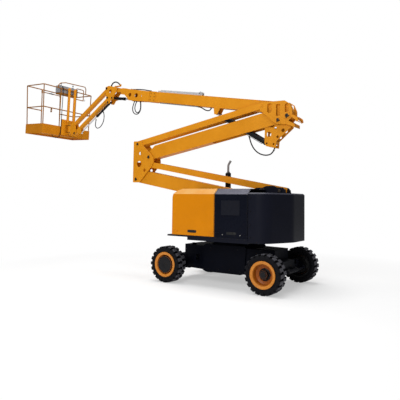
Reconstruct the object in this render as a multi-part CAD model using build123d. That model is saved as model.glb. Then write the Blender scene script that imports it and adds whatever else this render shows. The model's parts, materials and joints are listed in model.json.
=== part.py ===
"""Articulating boom lift, full size, one STEP file for each named piece.

Frame, in millimetres: the origin is on the floor under the slew axis, +X
points to the steered axle, +Z is up, and the boom lies over the drive axle,
towards -X.  The machine is parked with its riser part raised.
"""
from build123d import *
import math
import os

os.makedirs("parts", exist_ok=True)

# ---------------------------------------------------------------- chassis
WHEEL_X = 1248          # axle centres, either side of the slew axis
WHEEL_Y = 967           # tyre centre plane
TYRE_R = 420
TYRE_W = 300
TREAD_R = 384           # tyre's surface between the lugs
LUGS = 20               # in each of the two staggered rows
RIM_R = 286             # rim flange
HUB_R = 192
DISH_R = 218
KINGPIN_Y = 735
TIE_Y = 690             # tie rod's ends
AXLE_Z = TYRE_R
FRAME_TOP = 900
FRAME_LOW = 262
NECK_TOP = 850
NECK_LOW = 300
RING_TOP = 1005         # top of the slew ring

# -------------------------------------------------------------- turntable
DECK_LOW = 1022
DECK_TOP = 1125
HOOD_Y = 1100           # outer face of the side covers
HOOD_SHOULDER = 2057
HOOD_TOP = 2180
HOOD_BEVEL = 150
HOOD_WALL = 28
CHANNEL_Y = 250         # half width of the slot that the arms lie in
HOOD_HINGE_Y = 262      # hinge lines of the covers
EXHAUST_HINGE_Y = 552   # the far front cover hinges beyond the exhaust
HOOD_FRONT = -1056
HOOD_SEAM = 88
HOOD_REAR = 902
TAIL_LOW = 1045
TAIL_TOP = 2095

# ---------------------------------------------------- riser, at rest angle
RISER_L = 3800
RISER_ANGLE = 10.4
ARM_H_ABOVE = 262       # arm's top above its pin line
ARM_H_BELOW = 80
ARM_HALF = 109
ARM_WALL = 14
LINK_H = 148
LINK_IN, LINK_OUT = 114, 134
PLATE_IN, PLATE_OUT = 139, 155
ARM_PIN = (715, 1790)                   # lower arm on the turntable
LINK_OFFSET = (490, 375)                # lower link pin from lower arm pin
MID_UPPER_ARM = (440, 590)              # from the lower arm pin
TOP_LINK_OFFSET = (-405, 370)           # upper link pin from upper arm pin
BOOM_OFFSET = (215, 80)                 # boom pivot from upper arm pin
LIFT_BASE_OFFSET = (-305, -511)         # boom cylinder's lower pin
RISER_BASE = (100, 1260)                # riser cylinder's lower pin
RISER_EYE = (2150, 95)                  # its upper pin, along and above arm

# ------------------------------------------------------------- main boom
BOOM_ANGLE = 10.3
BOOM_HALF = 90
BOOM_LOW, BOOM_HIGH = 30, 295           # tube's edges above the pivot line
BOOM_WALL = 8
BOOM_REAR, BOOM_FRONT = 150, 4110
COLLAR_L = 205
FLY_HALF = 74
FLY_REAR = 700
LIFT_EYE = (1907, -98)
HEAD_IN, HEAD_OUT = 74, 90
JIB_PIVOT = (5434, 280)
LEVEL_EYE = (4750, 45)

# ------------------------------------------------------------------- jib
JIB_L = 1690
JIB_ANGLE = -33.7
LEVEL_BASE = (-119, -229)               # from the jib pivot
JIB_LOW_PIN = (-308, -208)
JIB_PARALLEL = (-40, 275)               # upper tube pin from lower one
JIB_BASE = (16, -139)                   # cylinder pin from lower tube pin
JIB_EYE = (1494, -135)
JIB_PLATE_IN, JIB_PLATE_OUT = 93, 107

# -------------------------------------------------------------- platform
SWIVEL_X = -5903
PLATFORM_Z = 3850
PLATFORM_TILT = 2.4
BASKET_X = (-970, -170)                 # from the swivel axis
BASKET_Y = 925
BASKET_H = 1485
SKIRT_H = 285
MID_RAIL = 800
POST_Y = (-34, 193)
RAIL_R = 16
CORNER_R = 45
FLARE = 46              # rails lean out by this at the top
ENTRY_Y = (-390, 320)   # posts each side of the entry
GATE_Z = 1400           # entry bar, raised


# ---------------------------------------------------------------- helpers
def prism(points, y_low, y_high, corner=0):
    """Closed outline in X and Z, with its corners rounded, and its thickness along Y."""
    face = make_face(Polyline(*points, close=True))
    if corner:
        face = fillet(face.vertices(), corner)
    slab = extrude(face, amount=y_high - y_low)
    return Pos(0, y_high, 0) * Rot(90, 0, 0) * slab


def pair(points, y_in, y_out, corner=0):
    """The same outline on both sides of the machine."""
    return prism(points, y_in, y_out, corner) + prism(points, -y_out, -y_in, corner)


def around(pin, offsets):
    return [(pin[0] + dx, pin[1] + dz) for dx, dz in offsets]


def flat(points, z_low, z_high):
    """Closed outline in X and Y, given its height."""
    return Pos(0, 0, z_low) * extrude(make_face(Polyline(*points, close=True)), amount=z_high - z_low)


def both_sides(points):
    """Outline from its near half, listed from -X to +X."""
    return points + [(x, -y) for x, y in reversed(points)]


def drum(centre, radius, y_low, y_high):
    """Round bar along Y through (x, z)."""
    x, z = centre
    middle = (y_low + y_high) / 2
    return Pos(x, middle, z) * Rot(90, 0, 0) * Cylinder(radius, y_high - y_low)


def drums(centre, radius, y_in, y_out):
    return drum(centre, radius, y_in, y_out) + drum(centre, radius, -y_out, -y_in)


def block(x_low, x_high, y_low, y_high, z_low, z_high):
    size = (x_high - x_low, y_high - y_low, z_high - z_low)
    middle = ((x_low + x_high) / 2, (y_low + y_high) / 2, (z_low + z_high) / 2)
    return Pos(*middle) * Box(*size)


def both_walls(x_low, x_high, y_in, y_out, z_low, z_high):
    return block(x_low, x_high, y_in, y_out, z_low, z_high) + block(x_low, x_high, -y_out, -y_in, z_low, z_high)


def rod(start, end, radius):
    """Round bar between two points in space."""
    a, b = Vector(*start), Vector(*end)
    plane = Plane(origin=(a + b) * 0.5, z_dir=(b - a).normalized())
    return plane * Cylinder(radius, (b - a).length)


def mirror_y(shape):
    return mirror(shape, about=Plane.XZ)


class Member:
    """Member's own axes: u along it, v at right angles and upwards."""

    def __init__(self, origin, angle, towards):
        self.origin = origin
        self.along = (towards * math.cos(math.radians(angle)), math.sin(math.radians(angle)))
        self.up = (-towards * self.along[1], towards * self.along[0])

    def at(self, u, v=0.0):
        x = self.origin[0] + u * self.along[0] + v * self.up[0]
        z = self.origin[1] + u * self.along[1] + v * self.up[1]
        return (x, z)

    def shape(self, points):
        return [self.at(u, v) for u, v in points]

    def beam(self, u0, u1, v0, v1, y0, y1):
        return prism(self.shape([(u0, v0), (u1, v0), (u1, v1), (u0, v1)]), y0, y1)


def shift(point, offset):
    return (point[0] + offset[0], point[1] + offset[1])


def stack(*shapes):
    """Separate solids that touch: each shape gives way to those before it."""
    solids, taken = [], None
    for shape in shapes:
        kept = shape if taken is None else shape - taken
        solids += kept.solids()
        taken = shape if taken is None else taken + shape
    return Compound(children=solids)


def save(name, shape):
    solids = shape.solids()
    whole = solids[0] if len(solids) == 1 else Compound(children=list(solids))
    whole.label = name
    export_step(whole, f"parts/{name}.step")
    print(f"{name}: {len(solids)} solid(s), {sum(s.volume for s in solids) / 1e9:.4f} m3")


def cylinder_pair(name, base, eye, barrel_r, rod_r, barrel_l, eye_r, half, closing, extra=None):
    """Hydraulic cylinder: barrel with its lower eye, and rod with its upper eye."""
    length = math.dist(base, eye)
    ux, uz = (eye[0] - base[0]) / length, (eye[1] - base[1]) / length

    def on(distance):
        return (base[0] + ux * distance, 0, base[1] + uz * distance)

    bore = rod(on(eye_r + 30), on(barrel_l + 1), rod_r + 1.5)
    barrel = rod(on(eye_r + 8), on(barrel_l), barrel_r) + rod(on(eye_r * 0.6), on(eye_r + 10), min(barrel_r, half) - 3) - bore
    barrel += drum(base, eye_r, -half, half)
    barrel -= rod(on(eye_r + 30), on(barrel_l + 1), rod_r + 1.5)
    barrel += rod(on(barrel_l - 70), on(barrel_l - 6), barrel_r + 5) - rod(on(barrel_l - 71), on(barrel_l), rod_r + 1.5)
    if extra is not None:
        barrel += extra
    save(f"{name}_barrel", barrel)
    stem = rod(on(eye_r + 45 + closing), on(length - eye_r * 0.6), rod_r)
    stem += drum(eye, eye_r, -half, half)
    stem -= drum(eye, eye_r * 0.5, -half - 1, half + 1)
    save(f"{name}_rod", stem)


# ------------------------------------------------------------ chassis frame
def chassis():
    plan = both_sides([(-1078, -385), (-560, -480), (560, -480), (1078, -385)])
    frame = flat(plan, NECK_LOW, NECK_TOP)
    frame += flat(both_sides([(-1190, -365), (-1060, -388)]), AXLE_Z + 190, NECK_TOP)
    frame += flat(both_sides([(1060, -388), (1190, -365)]), AXLE_Z + 190, NECK_TOP)
    side = [(-560, FRAME_LOW + 25), (-500, FRAME_LOW), (420, FRAME_LOW), (520, FRAME_LOW + 30), (560, 860), (520, FRAME_TOP), (-520, FRAME_TOP), (-560, 860)]
    frame += prism(side, -510, 510)
    ring_seat = Pos(0, 0, (FRAME_TOP + RING_TOP - 45) / 2) * Cone(560, 490, RING_TOP - 45 - FRAME_TOP)
    ring = Pos(0, 0, RING_TOP - 23) * Cylinder(470, 46)
    frame = frame + ring_seat + ring
    frame -= block(-500, 500, -450, 450, FRAME_LOW + 40, FRAME_TOP - 40)
    frame -= block(-1020, 1020, -300, 300, NECK_LOW + 40, NECK_TOP - 40)
    frame -= Pos(0, 0, 900) * Cylinder(330, 400)
    for x, low, high in ((-960, NECK_TOP - 10, NECK_TOP + 40), (-330, FRAME_TOP - 10, FRAME_TOP + 40)):
        frame += block(x - 45, x + 45, -330, -270, low, high)
    eye_r, eye_t = 26, 30
    for x in (-700, 700):
        for side in (-1, 1):
            lug = prism([(x - 70, 520), (x + 70, 520), (x + 55, 650), (x - 55, 650)], 0, eye_t)
            lug -= drum((x, 600), eye_r, -1, eye_t + 1)
            turned = Pos(x, side * 560, 0) * Rot(0, 0, 90) * Pos(-x, 0, 0) * lug
            frame += turned
    save("chassis_frame", frame)

    drive = rod((-WHEEL_X, -810, AXLE_Z), (-WHEEL_X, 810, AXLE_Z), 95)
    drive += block(-WHEEL_X - 150, -WHEEL_X + 168, -330, 330, AXLE_Z - 150, AXLE_Z + 190)
    for side in (-1, 1):
        low, high = sorted((side * 640, side * 830))
        drive += drum((-WHEEL_X, AXLE_Z), 170, low, high)
        low, high = sorted((side * 820, side * 940))
        drive += drum((-WHEEL_X, AXLE_Z), 110, low, high)
    save("drive_axle", drive)

    steer = block(WHEEL_X - 168, WHEEL_X + 110, -330, 330, AXLE_Z - 110, AXLE_Z + 190)
    steer += block(WHEEL_X - 90, WHEEL_X + 90, -560, 560, AXLE_Z - 75, AXLE_Z + 75)
    for side in (-1, 1):
        for z in (AXLE_Z - 150, AXLE_Z + 110):
            fork = Pos(WHEEL_X, side * KINGPIN_Y, z + 20) * Cylinder(62, 40)
            low, high = sorted((side * 560, side * KINGPIN_Y))
            fork += block(WHEEL_X - 62, WHEEL_X + 62, low, high, z, z + 40)
            fork -= Pos(WHEEL_X, side * KINGPIN_Y, z + 20) * Cylinder(28.05, 60)
            steer += fork
        low, high = sorted((side * 555, side * 590))
        steer += block(WHEEL_X - 62, WHEEL_X + 62, low, high, AXLE_Z - 150, AXLE_Z + 150)
    barrel = rod((WHEEL_X + 190, -250, AXLE_Z - 30), (WHEEL_X + 190, 250, AXLE_Z - 30), 45)
    barrel += block(WHEEL_X + 100, WHEEL_X + 190, -120, 120, AXLE_Z - 60, AXLE_Z)
    barrel -= rod((WHEEL_X + 190, -260, AXLE_Z - 30), (WHEEL_X + 190, 260, AXLE_Z - 30), 24)
    save("steer_axle", steer + barrel)

    tie = rod((WHEEL_X + 190, -TIE_Y + 20, AXLE_Z - 30), (WHEEL_X + 190, TIE_Y - 20, AXLE_Z - 30), 22)
    for side in (-1, 1):
        tie += Pos(WHEEL_X + 190, side * TIE_Y, AXLE_Z - 30) * Cylinder(34, 40)
    save("tie_rod", tie)

    for side, name in ((-1, "near"), (1, "far")):
        y = side * KINGPIN_Y
        knuckle = Pos(WHEEL_X, y, AXLE_Z) * Cylinder(58, 206)
        knuckle += Pos(WHEEL_X, y, AXLE_Z) * Cylinder(28, 290)
        low, high = sorted((y, side * 970))
        knuckle += drum((WHEEL_X, AXLE_Z), 50, low, high)
        low, high = sorted((side * 800, side * 825))
        knuckle += drum((WHEEL_X, AXLE_Z), 125, low, high)
        end_y = side * TIE_Y
        arm_z = AXLE_Z + 8
        arm = Pos(WHEEL_X + 190, end_y, arm_z) * Cylinder(34, 24)
        leg = Polyline((WHEEL_X, y - side * 30), (WHEEL_X + 190, end_y - side * 24),
                       (WHEEL_X + 190, end_y + side * 24), (WHEEL_X, y + side * 30), close=True)
        arm += Pos(0, 0, arm_z - 12) * extrude(make_face(leg), amount=24)
        knuckle += arm
        save(f"steer_knuckle_{name}", knuckle)


# ------------------------------------------------------------------ wheels
def wheel(name, x, side, driven):
    """Solid tyre on a dished rim; local +Y is outboard."""
    half = TYRE_W / 2
    ring = [(RIM_R - 14, -half + 26), (RIM_R + 2, -half + 26), (TREAD_R - 40, -half + 6), (TREAD_R - 6, -half + 14),
            (TREAD_R, -half + 34), (TREAD_R, half - 34), (TREAD_R - 6, half - 14), (TREAD_R - 40, half - 6),
            (RIM_R + 2, half - 26), (RIM_R - 14, half - 26)]
    tyre = revolve(make_face(Polyline(*ring, close=True)), Axis.Y)
    pitch = 2 * math.pi * TREAD_R / LUGS
    plan = [(-0.27 * pitch, 2), (0.33 * pitch, 2), (0.38 * pitch, 70), (0.26 * pitch, half + 2), (-0.34 * pitch, half + 2),
            (-0.22 * pitch, 70)]
    lug = Pos(0, 0, TREAD_R - 48) * extrude(make_face(Polyline(*plan, close=True)), amount=TYRE_R - TREAD_R + 60)
    envelope = [(TREAD_R - 60, 0), (TYRE_R, 0), (TYRE_R, half - 30), (TYRE_R - 12, half - 8), (TREAD_R - 40, half), (TREAD_R - 60, half)]
    lug &= revolve(make_face(Polyline(*envelope, close=True)), Axis.Y)
    step = 360 / LUGS
    lugs = [Rot(0, step * k, 0) * lug for k in range(LUGS)]
    lugs += [Rot(0, step * (k + 0.5), 0) * Rot(0, 0, 180) * lug for k in range(LUGS)]
    tyre = tyre + lugs
    flange = [(RIM_R - 15, -half + 12), (RIM_R - 1, -half + 12), (RIM_R - 1, -half + 20), (RIM_R - 15, -half + 24),
              (RIM_R - 15, half - 24), (RIM_R - 1, half - 20), (RIM_R - 1, half - 8), (RIM_R - 20, half - 4),
              (DISH_R + 8, half - 14), (DISH_R, half - 26), (DISH_R - 16, 20), (DISH_R - 60, 0),
              (0, 0), (0, -22), (DISH_R - 50, -22), (DISH_R, -10), (DISH_R + 30, -half + 40), (RIM_R - 30, -half + 12)]
    rim = revolve(make_face(Polyline(*flange, close=True)), Axis.Y)
    if driven:
        hub = Pos(0, 60, 0) * Rot(90, 0, 0) * Cylinder(HUB_R, 150)
        hub -= Pos(0, 138, 0) * Rot(90, 0, 0) * Cylinder(60, 12)
        rim += hub
    else:
        hub = Pos(0, 45, 0) * Rot(90, 0, 0) * Cylinder(88, 100)
        hub += Pos(0, 95, 0) * Rot(90, 0, 0) * Cylinder(62, 30)
        for k in range(9):
            angle = math.radians(40 * k)
            bolt = Pos(104 * math.cos(angle), 12, 104 * math.sin(angle)) * Rot(90, 0, 0)
            hub += bolt * Cylinder(11, 40)
        rim += hub
    turn = Rot(0, 0, 0) if side > 0 else Rot(0, 0, 180)
    place = Pos(x, side * WHEEL_Y, AXLE_Z) * turn
    if not driven:
        rim -= Pos(0, -40, 0) * Rot(90, 0, 0) * Cylinder(50.05, 100)
    save(f"tyre_{name}", place * tyre)
    save(f"rim_{name}", place * rim)


def wheels():
    table = (("drive_near", -WHEEL_X, -1, True), ("drive_far", -WHEEL_X, 1, True),
             ("steer_near", WHEEL_X, -1, False), ("steer_far", WHEEL_X, 1, False))
    for name, x, side, driven in table:
        wheel(name, x, side, driven)


# --------------------------------------------------------------- turntable
def turntable():
    deck = block(-1183, 905, -HOOD_Y, HOOD_Y, DECK_TOP - 35, DECK_TOP)
    deck += block(-630, 905, -HOOD_Y + 12, HOOD_Y - 12, DECK_LOW, DECK_TOP - 30)
    deck -= block(-600, 860, -HOOD_Y + 60, -CHANNEL_Y - 90, DECK_LOW - 1, DECK_TOP - 35)
    deck -= block(-600, 860, CHANNEL_Y + 90, HOOD_Y - 60, DECK_LOW - 1, DECK_TOP - 35)
    disc = Pos(0, 0, (RING_TOP + 5 + DECK_LOW) / 2) * Cylinder(440, DECK_LOW - RING_TOP - 5)
    uprights = both_walls(HOOD_FRONT + 10, 900, CHANNEL_Y - 20, CHANNEL_Y, DECK_TOP, HOOD_TOP - 8)
    save("turntable_deck", stack(deck, disc, uprights))

    link_pin = shift(ARM_PIN, LINK_OFFSET)
    outline = [(330, DECK_TOP), (1420, DECK_TOP), (1420, 1700), (1335, 2170), (1285, 2222), (1150, 2232), (1120, 2240),
               (1040, 2268), (880, 2262), (780, 2222), (640, 2228), (560, 2190), (520, 2050), (480, 1700)]
    tower = pair(outline, PLATE_IN, 165)
    tower += drums(ARM_PIN, 35, 97, 200)
    tower += drums(ARM_PIN, 85, 160, 185)
    tower += drums(link_pin, 25, 106, 190)
    tower += drums(link_pin, 38, 100, 110)
    tower += drums(link_pin, 60, 160, 180)
    floor = block(860, 1420, -PLATE_IN, PLATE_IN, DECK_TOP, DECK_TOP + 40)
    back = block(1390, 1420, -PLATE_IN, PLATE_IN, DECK_TOP + 40, 2000)
    ears = pair([(20, DECK_TOP), (190, DECK_TOP), (150, 1300), (100, 1330), (50, 1300)], 62, 82)
    ears -= drums(RISER_BASE, 30, 50, 90)
    seat = block(-20, 330, -165, 165, DECK_TOP, DECK_TOP + 30) - block(20, 190, -82, -62, 0, 3000) - block(20, 190, 62, 82, 0, 3000)
    tower = Compound(children=[*tower.solids(), *floor.solids(), *back.solids(), *ears.solids(), *seat.solids()])
    save("pivot_tower", tower)

    skirt = FilletPolyline((914, -HOOD_Y), (1290, -HOOD_Y), (1600, -330), (1600, 330), (1290, HOOD_Y), (914, HOOD_Y), radius=330)
    skirt = Wire([*skirt.edges(), Edge.make_line((914, HOOD_Y, 0), (914, -HOOD_Y, 0))])
    weight = Pos(0, 0, TAIL_LOW) * extrude(make_face(skirt), amount=TAIL_TOP - TAIL_LOW)
    rim = weight.faces().sort_by(Axis.Z)[-1].outer_wire().edges()
    weight = chamfer(rim.filter_by(lambda e: e.center().X > 950), 30)
    inner = [(914, -HOOD_Y + 170), (1090, -HOOD_Y + 170), (1240, -800), (1350, -540), (1425, -190)]
    weight -= flat(both_sides(inner), TAIL_LOW + 60, TAIL_TOP - 60)
    weight -= block(900, 1436, -CHANNEL_Y + 60, CHANNEL_Y - 60, 1700, TAIL_TOP + 10)
    weight -= block(900, 1436, -CHANNEL_Y, CHANNEL_Y, DECK_TOP, TAIL_TOP + 10)
    parts = [weight & block(800, 1700, -1200, -CHANNEL_Y, 1000, 2200), weight & block(800, 1700, CHANNEL_Y, 1200, 1000, 2200),
             weight & block(800, 1700, -CHANNEL_Y, CHANNEL_Y, 1000, 2200)]
    weight = Compound(children=[solid for part in parts for solid in part.solids()])
    save("counterweight", weight)

    engine, tank = block(-100, 700, 400, 900, DECK_TOP, 1750), block(-900, -300, -940, -420, DECK_TOP, 1700)
    save("power_blocks", Compound(children=[engine, tank]))
    pipe = rod((-450, 420, DECK_TOP), (-450, 420, 2240), 42)
    pipe += rod((-450, 420, 2225), (-450, 420, 2600), 70)
    bend = FilletPolyline((-450, 420, 2590), (-450, 420, 2815), (-380, 420, 2922), radius=120)
    pipe += sweep(Plane(origin=bend @ 0, z_dir=bend % 0) * Circle(28), path=bend)
    save("exhaust", pipe)


def hood(name, x_low, x_high, front, side, inner):
    """Lift-up side cover: outer face, bevelled shoulder and top, hinged inboard."""
    y0, wall, axis_y = HOOD_Y, HOOD_WALL, inner
    inner = axis_y + 8
    outer = [(-y0, DECK_TOP + 5), (-y0, HOOD_SHOULDER), (-y0 + HOOD_BEVEL, HOOD_TOP), (-inner, HOOD_TOP),
             (-inner, HOOD_TOP - wall), (-y0 + HOOD_BEVEL + 10, HOOD_TOP - wall),
             (-y0 + wall, HOOD_SHOULDER - 12), (-y0 + wall, DECK_TOP + 5)]
    across = Plane(origin=(x_low, 0, 0), x_dir=(0, 1, 0), z_dir=(1, 0, 0))
    shell = across * extrude(make_face(Polyline(*outer, close=True)), amount=x_high - x_low)
    if front:
        wall_pts = [(-y0, DECK_TOP + 5), (-y0, HOOD_SHOULDER), (-y0 + HOOD_BEVEL, HOOD_TOP), (-inner, HOOD_TOP),
                    (-inner, DECK_TOP + 5)]
        shell += across * extrude(make_face(Polyline(*wall_pts, close=True)), amount=wall)
        back = [(x_low - 1, HOOD_TOP + 1), (x_low - 1, HOOD_TOP - 190), (x_low + 36, HOOD_TOP - 92), (x_low + 92, HOOD_TOP - 36),
                (x_low + 190, HOOD_TOP + 1)]
        shell -= prism(back, -y0 - 1, 0)
        slope = [(x_low + 1, HOOD_TOP - 190), (x_low + 36, HOOD_TOP - 92), (x_low + 92, HOOD_TOP - 36), (x_low + 190, HOOD_TOP),
                 (x_low + 194, HOOD_TOP - wall), (x_low + 110, HOOD_TOP - 58), (x_low + 60, HOOD_TOP - 108), (x_low + wall, HOOD_TOP - 196)]
        cap = across * extrude(make_face(Polyline(*wall_pts, close=True)), amount=200)
        shell += prism(slope, -y0, -inner) & cap
    else:
        shell += block(254, 723, -y0 - 5, -y0 + 5, 1601, 1931)
    shell += rod((x_low + 200, -axis_y, HOOD_TOP + 4), (x_high - 20, -axis_y, HOOD_TOP + 4), 8)
    shell += block(x_low + 200, x_high - 20, -inner - 12, -axis_y, HOOD_TOP - 3, HOOD_TOP + 5)
    for x in (x_low + 90, x_high - 90):
        shell += block(x - 60, x + 60, -y0 - 12, -y0 + 5, DECK_TOP + 70, DECK_TOP + 100)
    shell = shell if side < 0 else mirror_y(shell)
    save(name, shell)


def hoods():
    near, far = HOOD_HINGE_Y, EXHAUST_HINGE_Y
    table = (("hood_front_near", HOOD_FRONT, HOOD_SEAM - 5, True, -1, near),
             ("hood_rear_near", HOOD_SEAM + 5, HOOD_REAR, False, -1, near),
             ("hood_front_far", HOOD_FRONT, HOOD_SEAM - 5, True, 1, far),
             ("hood_rear_far", HOOD_SEAM + 5, HOOD_REAR, False, 1, near))
    for name, x_low, x_high, front, side, inner in table:
        hood(name, x_low, x_high, front, side, inner)
    low, high = CHANNEL_Y + 2, EXHAUST_HINGE_Y - 14
    x_low, x_high, wall = HOOD_FRONT, HOOD_SEAM - 5, HOOD_WALL
    outline = [(x_low, DECK_TOP), (x_low + wall, DECK_TOP), (x_low + wall, HOOD_TOP - 196),
               (x_low + 60, HOOD_TOP - 108), (x_low + 110, HOOD_TOP - 58), (x_low + 194, HOOD_TOP - wall),
               (x_high, HOOD_TOP - wall), (x_high, HOOD_TOP), (x_low + 190, HOOD_TOP), (x_low + 92, HOOD_TOP - 36),
               (x_low + 36, HOOD_TOP - 92), (x_low, HOOD_TOP - 190)]
    panel = prism(outline, low, high) - Pos(-450, 420, HOOD_TOP) * Cylinder(58, 100)
    save("exhaust_panel", panel)


# ------------------------------------------------------------------- riser
def riser():
    lower = Member(ARM_PIN, RISER_ANGLE, -1)
    knee = lower.at(RISER_L)
    upper_pin = shift(knee, MID_UPPER_ARM)
    upper = Member(upper_pin, RISER_ANGLE, 1)
    top_pin = upper.at(RISER_L)
    low_link = Member(shift(ARM_PIN, LINK_OFFSET), RISER_ANGLE, -1)
    up_link = Member(shift(top_pin, TOP_LINK_OFFSET), -RISER_ANGLE, -1)
    down = Member(top_pin, -RISER_ANGLE, -1)

    # lower arm: box with rounded ends, slotted below for the riser cylinder
    top, low = ARM_H_ABOVE, -ARM_H_BELOW
    body = lower.shape([(-75, -60), (40, low), (RISER_L - 60, low), (RISER_L + 65, -50), (RISER_L + 65, 70),
                        (RISER_L - 260, top), (900, top), (-75, 35)])
    hollow = lower.shape([(460, low + 12), (RISER_L - 140, low + 12), (RISER_L - 140, 100), (RISER_L - 285, top - 12),
                          (890, top - 12), (460, 160)])
    arm = prism(body, -ARM_HALF, ARM_HALF) - prism(hollow, -ARM_HALF + ARM_WALL, ARM_HALF - ARM_WALL)
    arm -= lower.beam(1380, 2290, low - 1, low + 20, -75, 75)
    arm -= lower.beam(-200, 440, low - 20, top + 20, -96, 96)
    arm -= drum(ARM_PIN, 35.05, -150, 150)
    arm -= drum(knee, 30.05, -150, 150)
    eye = lower.at(*RISER_EYE)
    arm += drums(eye, 55, ARM_HALF - ARM_WALL - 4, ARM_HALF + 3)
    arm += drums(eye, 28, 60, ARM_HALF)
    save("lower_arm", arm)

    bars = [(-55, -LINK_H / 2), (RISER_L + 55, -LINK_H / 2), (RISER_L + 55, LINK_H / 2), (-55, LINK_H / 2)]
    link = pair(low_link.shape(bars), LINK_IN, LINK_OUT)
    link -= drum(low_link.at(0), 25.05, -200, 200)
    link -= drum(low_link.at(RISER_L), 25.05, -200, 200)
    save("lower_link", link)

    # knee casting between the two arms
    link_pin = shift(knee, LINK_OFFSET)
    tie_pin = shift(upper_pin, TOP_LINK_OFFSET)
    x0 = knee[0] - 108
    outline = around(knee, [(-108, -96), (125, -96), (330, 110), (545, 335), (612, 450), (592, 565), (245, 885), (168, 1020), (-108, 1037)])
    plates = pair(outline, PLATE_IN, PLATE_OUT, 28)
    plates -= drum((knee[0] + 100, knee[1] + 405), 82, -200, 200)
    plates -= drum((knee[0] + 130, knee[1] + 694), 45, -200, 200)
    plates -= drum((knee[0] + 292, knee[1] + 234), 45, -200, 200)
    for pin in (knee, upper_pin):
        plates += drum(pin, 30, -PLATE_OUT - 12, PLATE_OUT + 12)
    for pin in (link_pin, tie_pin):
        plates += drums(pin, 25, 106, PLATE_OUT + 12)
        plates += drums(pin, 38, 100, 110)
    plates += block(x0, x0 + 20, -PLATE_IN, PLATE_IN, knee[1] + 150, knee[1] + 470)
    save("mid_knuckle", plates)

    # upper arm: closed box near the knee, open fork towards the top
    fork = 1850
    body = upper.shape([(-65, -50), (60, low), (RISER_L - 40, low), (RISER_L + 75, -40), (RISER_L + 75, 50),
                        (RISER_L - 300, top), (210, top), (-65, 110)])
    arm = prism(body, -ARM_HALF, ARM_HALF)
    arm -= upper.beam(140, RISER_L - fork, low + 12, top - 12, -ARM_HALF + ARM_WALL, ARM_HALF - ARM_WALL)
    arm -= upper.beam(RISER_L - fork + 30, RISER_L + 200, low - 20, top + 20, -97, 97)
    arm -= upper.beam(1500, RISER_L - fork + 31, low + 12, top + 20, -97, 97)
    arm -= drum(upper_pin, 30.05, -150, 150)
    arm -= drum(top_pin, 30.05, -150, 150)
    save("upper_arm", arm)

    up_bars = pair(up_link.shape(bars), LINK_IN, LINK_OUT)
    up_bars -= drum(up_link.at(0), 25.05, -200, 200)
    up_bars -= drum(up_link.at(RISER_L), 25.05, -200, 200)
    save("upper_link", up_bars)

    # top casting that carries the boom
    tx, tz = top_pin
    link_pin = shift(top_pin, TOP_LINK_OFFSET)
    pivot = shift(top_pin, BOOM_OFFSET)
    lift = shift(top_pin, LIFT_BASE_OFFSET)
    outline = around(top_pin, [(-450, 262), (-450, 340), (-385, 436), (-100, 432), (160, 424), (272, 348), (338, 195), (340, 50),
                               (200, -92), (-20, -100), (-110, -45)])
    plates = pair(outline, PLATE_IN, PLATE_OUT, 20)
    windows = ((-263, -153, 179, 391, 40), (-46, 52, 89, 355, 12), (165, 258, 154, 356, 40))
    for x_low, x_high, z_low, z_high, corner in windows:
        opening = around(top_pin, [(x_low, z_low), (x_high, z_low), (x_high, z_high), (x_low, z_high)])
        plates -= prism(opening, -200, 200, corner)
    plates += drums(top_pin, 30, PLATE_IN, PLATE_OUT + 12)
    plates += drums(pivot, 35, PLATE_IN, PLATE_OUT + 12)
    plates += drums(pivot, 75, PLATE_OUT - 3, PLATE_OUT + 14)
    plates += drums(link_pin, 25, PLATE_IN, PLATE_OUT + 12)
    tails = pair(around(top_pin, [(90, -110), (250, -110), (250, -60), (90, -60)]), PLATE_IN, PLATE_OUT)
    tails += pair(around(top_pin, [(190, -30), (215, -20), (398, -125), (398, -200), (190, -110)]), PLATE_IN, PLATE_OUT)
    strut = around(top_pin, [(-351, -138), (-358, -500), (-320, -575), (-78, -630), (-63, -474), (282, -180), (262, -60), (60, -45), (-60, -60), (-140, -150)])
    web = pair(strut, 76, 92, 8)
    for dx, dz, radius in ((-249, -305, 58), (-86, -172, 30), (-33, -376, 30), (97, -237, 42), (-133, -535, 24)):
        web -= drum(shift(top_pin, (dx, dz)), radius, -100, 100)
    web += drums(top_pin, 48, 60, 92)
    web += drums(lift, 45, 50, 92)
    web -= drums(lift, 24, 49, 93)
    pins = drum(top_pin, 30, -PLATE_IN, PLATE_IN) + drum(pivot, 35, -PLATE_IN, PLATE_IN)
    bosses = drums(pivot, 70, BOOM_HALF + 1, PLATE_IN) + drums(link_pin, 25, 106, PLATE_IN) + drums(link_pin, 40, 100, 110)
    beam = prism(around(top_pin, [(110, -110), (250, -110), (250, -85), (110, -85)]), -PLATE_IN, PLATE_IN)
    beam += prism(around(top_pin, [(372, -190), (398, -200), (398, -135), (372, -120)]), -PLATE_IN, PLATE_IN)
    beam += prism(around(top_pin, [(-110, -545), (-90, -545), (-60, -480), (-80, -480)]), -76, 76)
    guide = around(top_pin, [(288, 50), (330, 95), (400, 62), (468, 12), (484, -62), (432, -78), (416, -32), (372, 0), (330, 40)])
    ladder = pair(guide, PLATE_OUT, PLATE_OUT + 8)
    rungs = None
    for dx, dz in ((375, 48), (404, 32), (430, 8), (452, -26), (458, -66)):
        rung = drum(shift(top_pin, (dx, dz)), 9, -PLATE_OUT, PLATE_OUT)
        rungs = rung if rungs is None else rungs + rung
    plates = stack(plates, tails, web, pins, bosses, beam, ladder, rungs)
    save("top_knuckle", plates)

    cylinder_pair("riser_cylinder", RISER_BASE, eye, 60, 36, 1300, 55, 55, 150)
    boom = Member(pivot, BOOM_ANGLE, -1)
    port = rod((lift[0] + 12, 0, lift[1] - 25), (lift[0] + 172, 0, lift[1] - 94), 15)
    port += rod((lift[0] + 168, 0, lift[1] - 88), (lift[0] + 152, 0, lift[1] - 131), 17)
    cylinder_pair("lift_cylinder", lift, boom.at(*LIFT_EYE), 66, 34, 1400, 44, 46, 90, port)
    return boom


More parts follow.
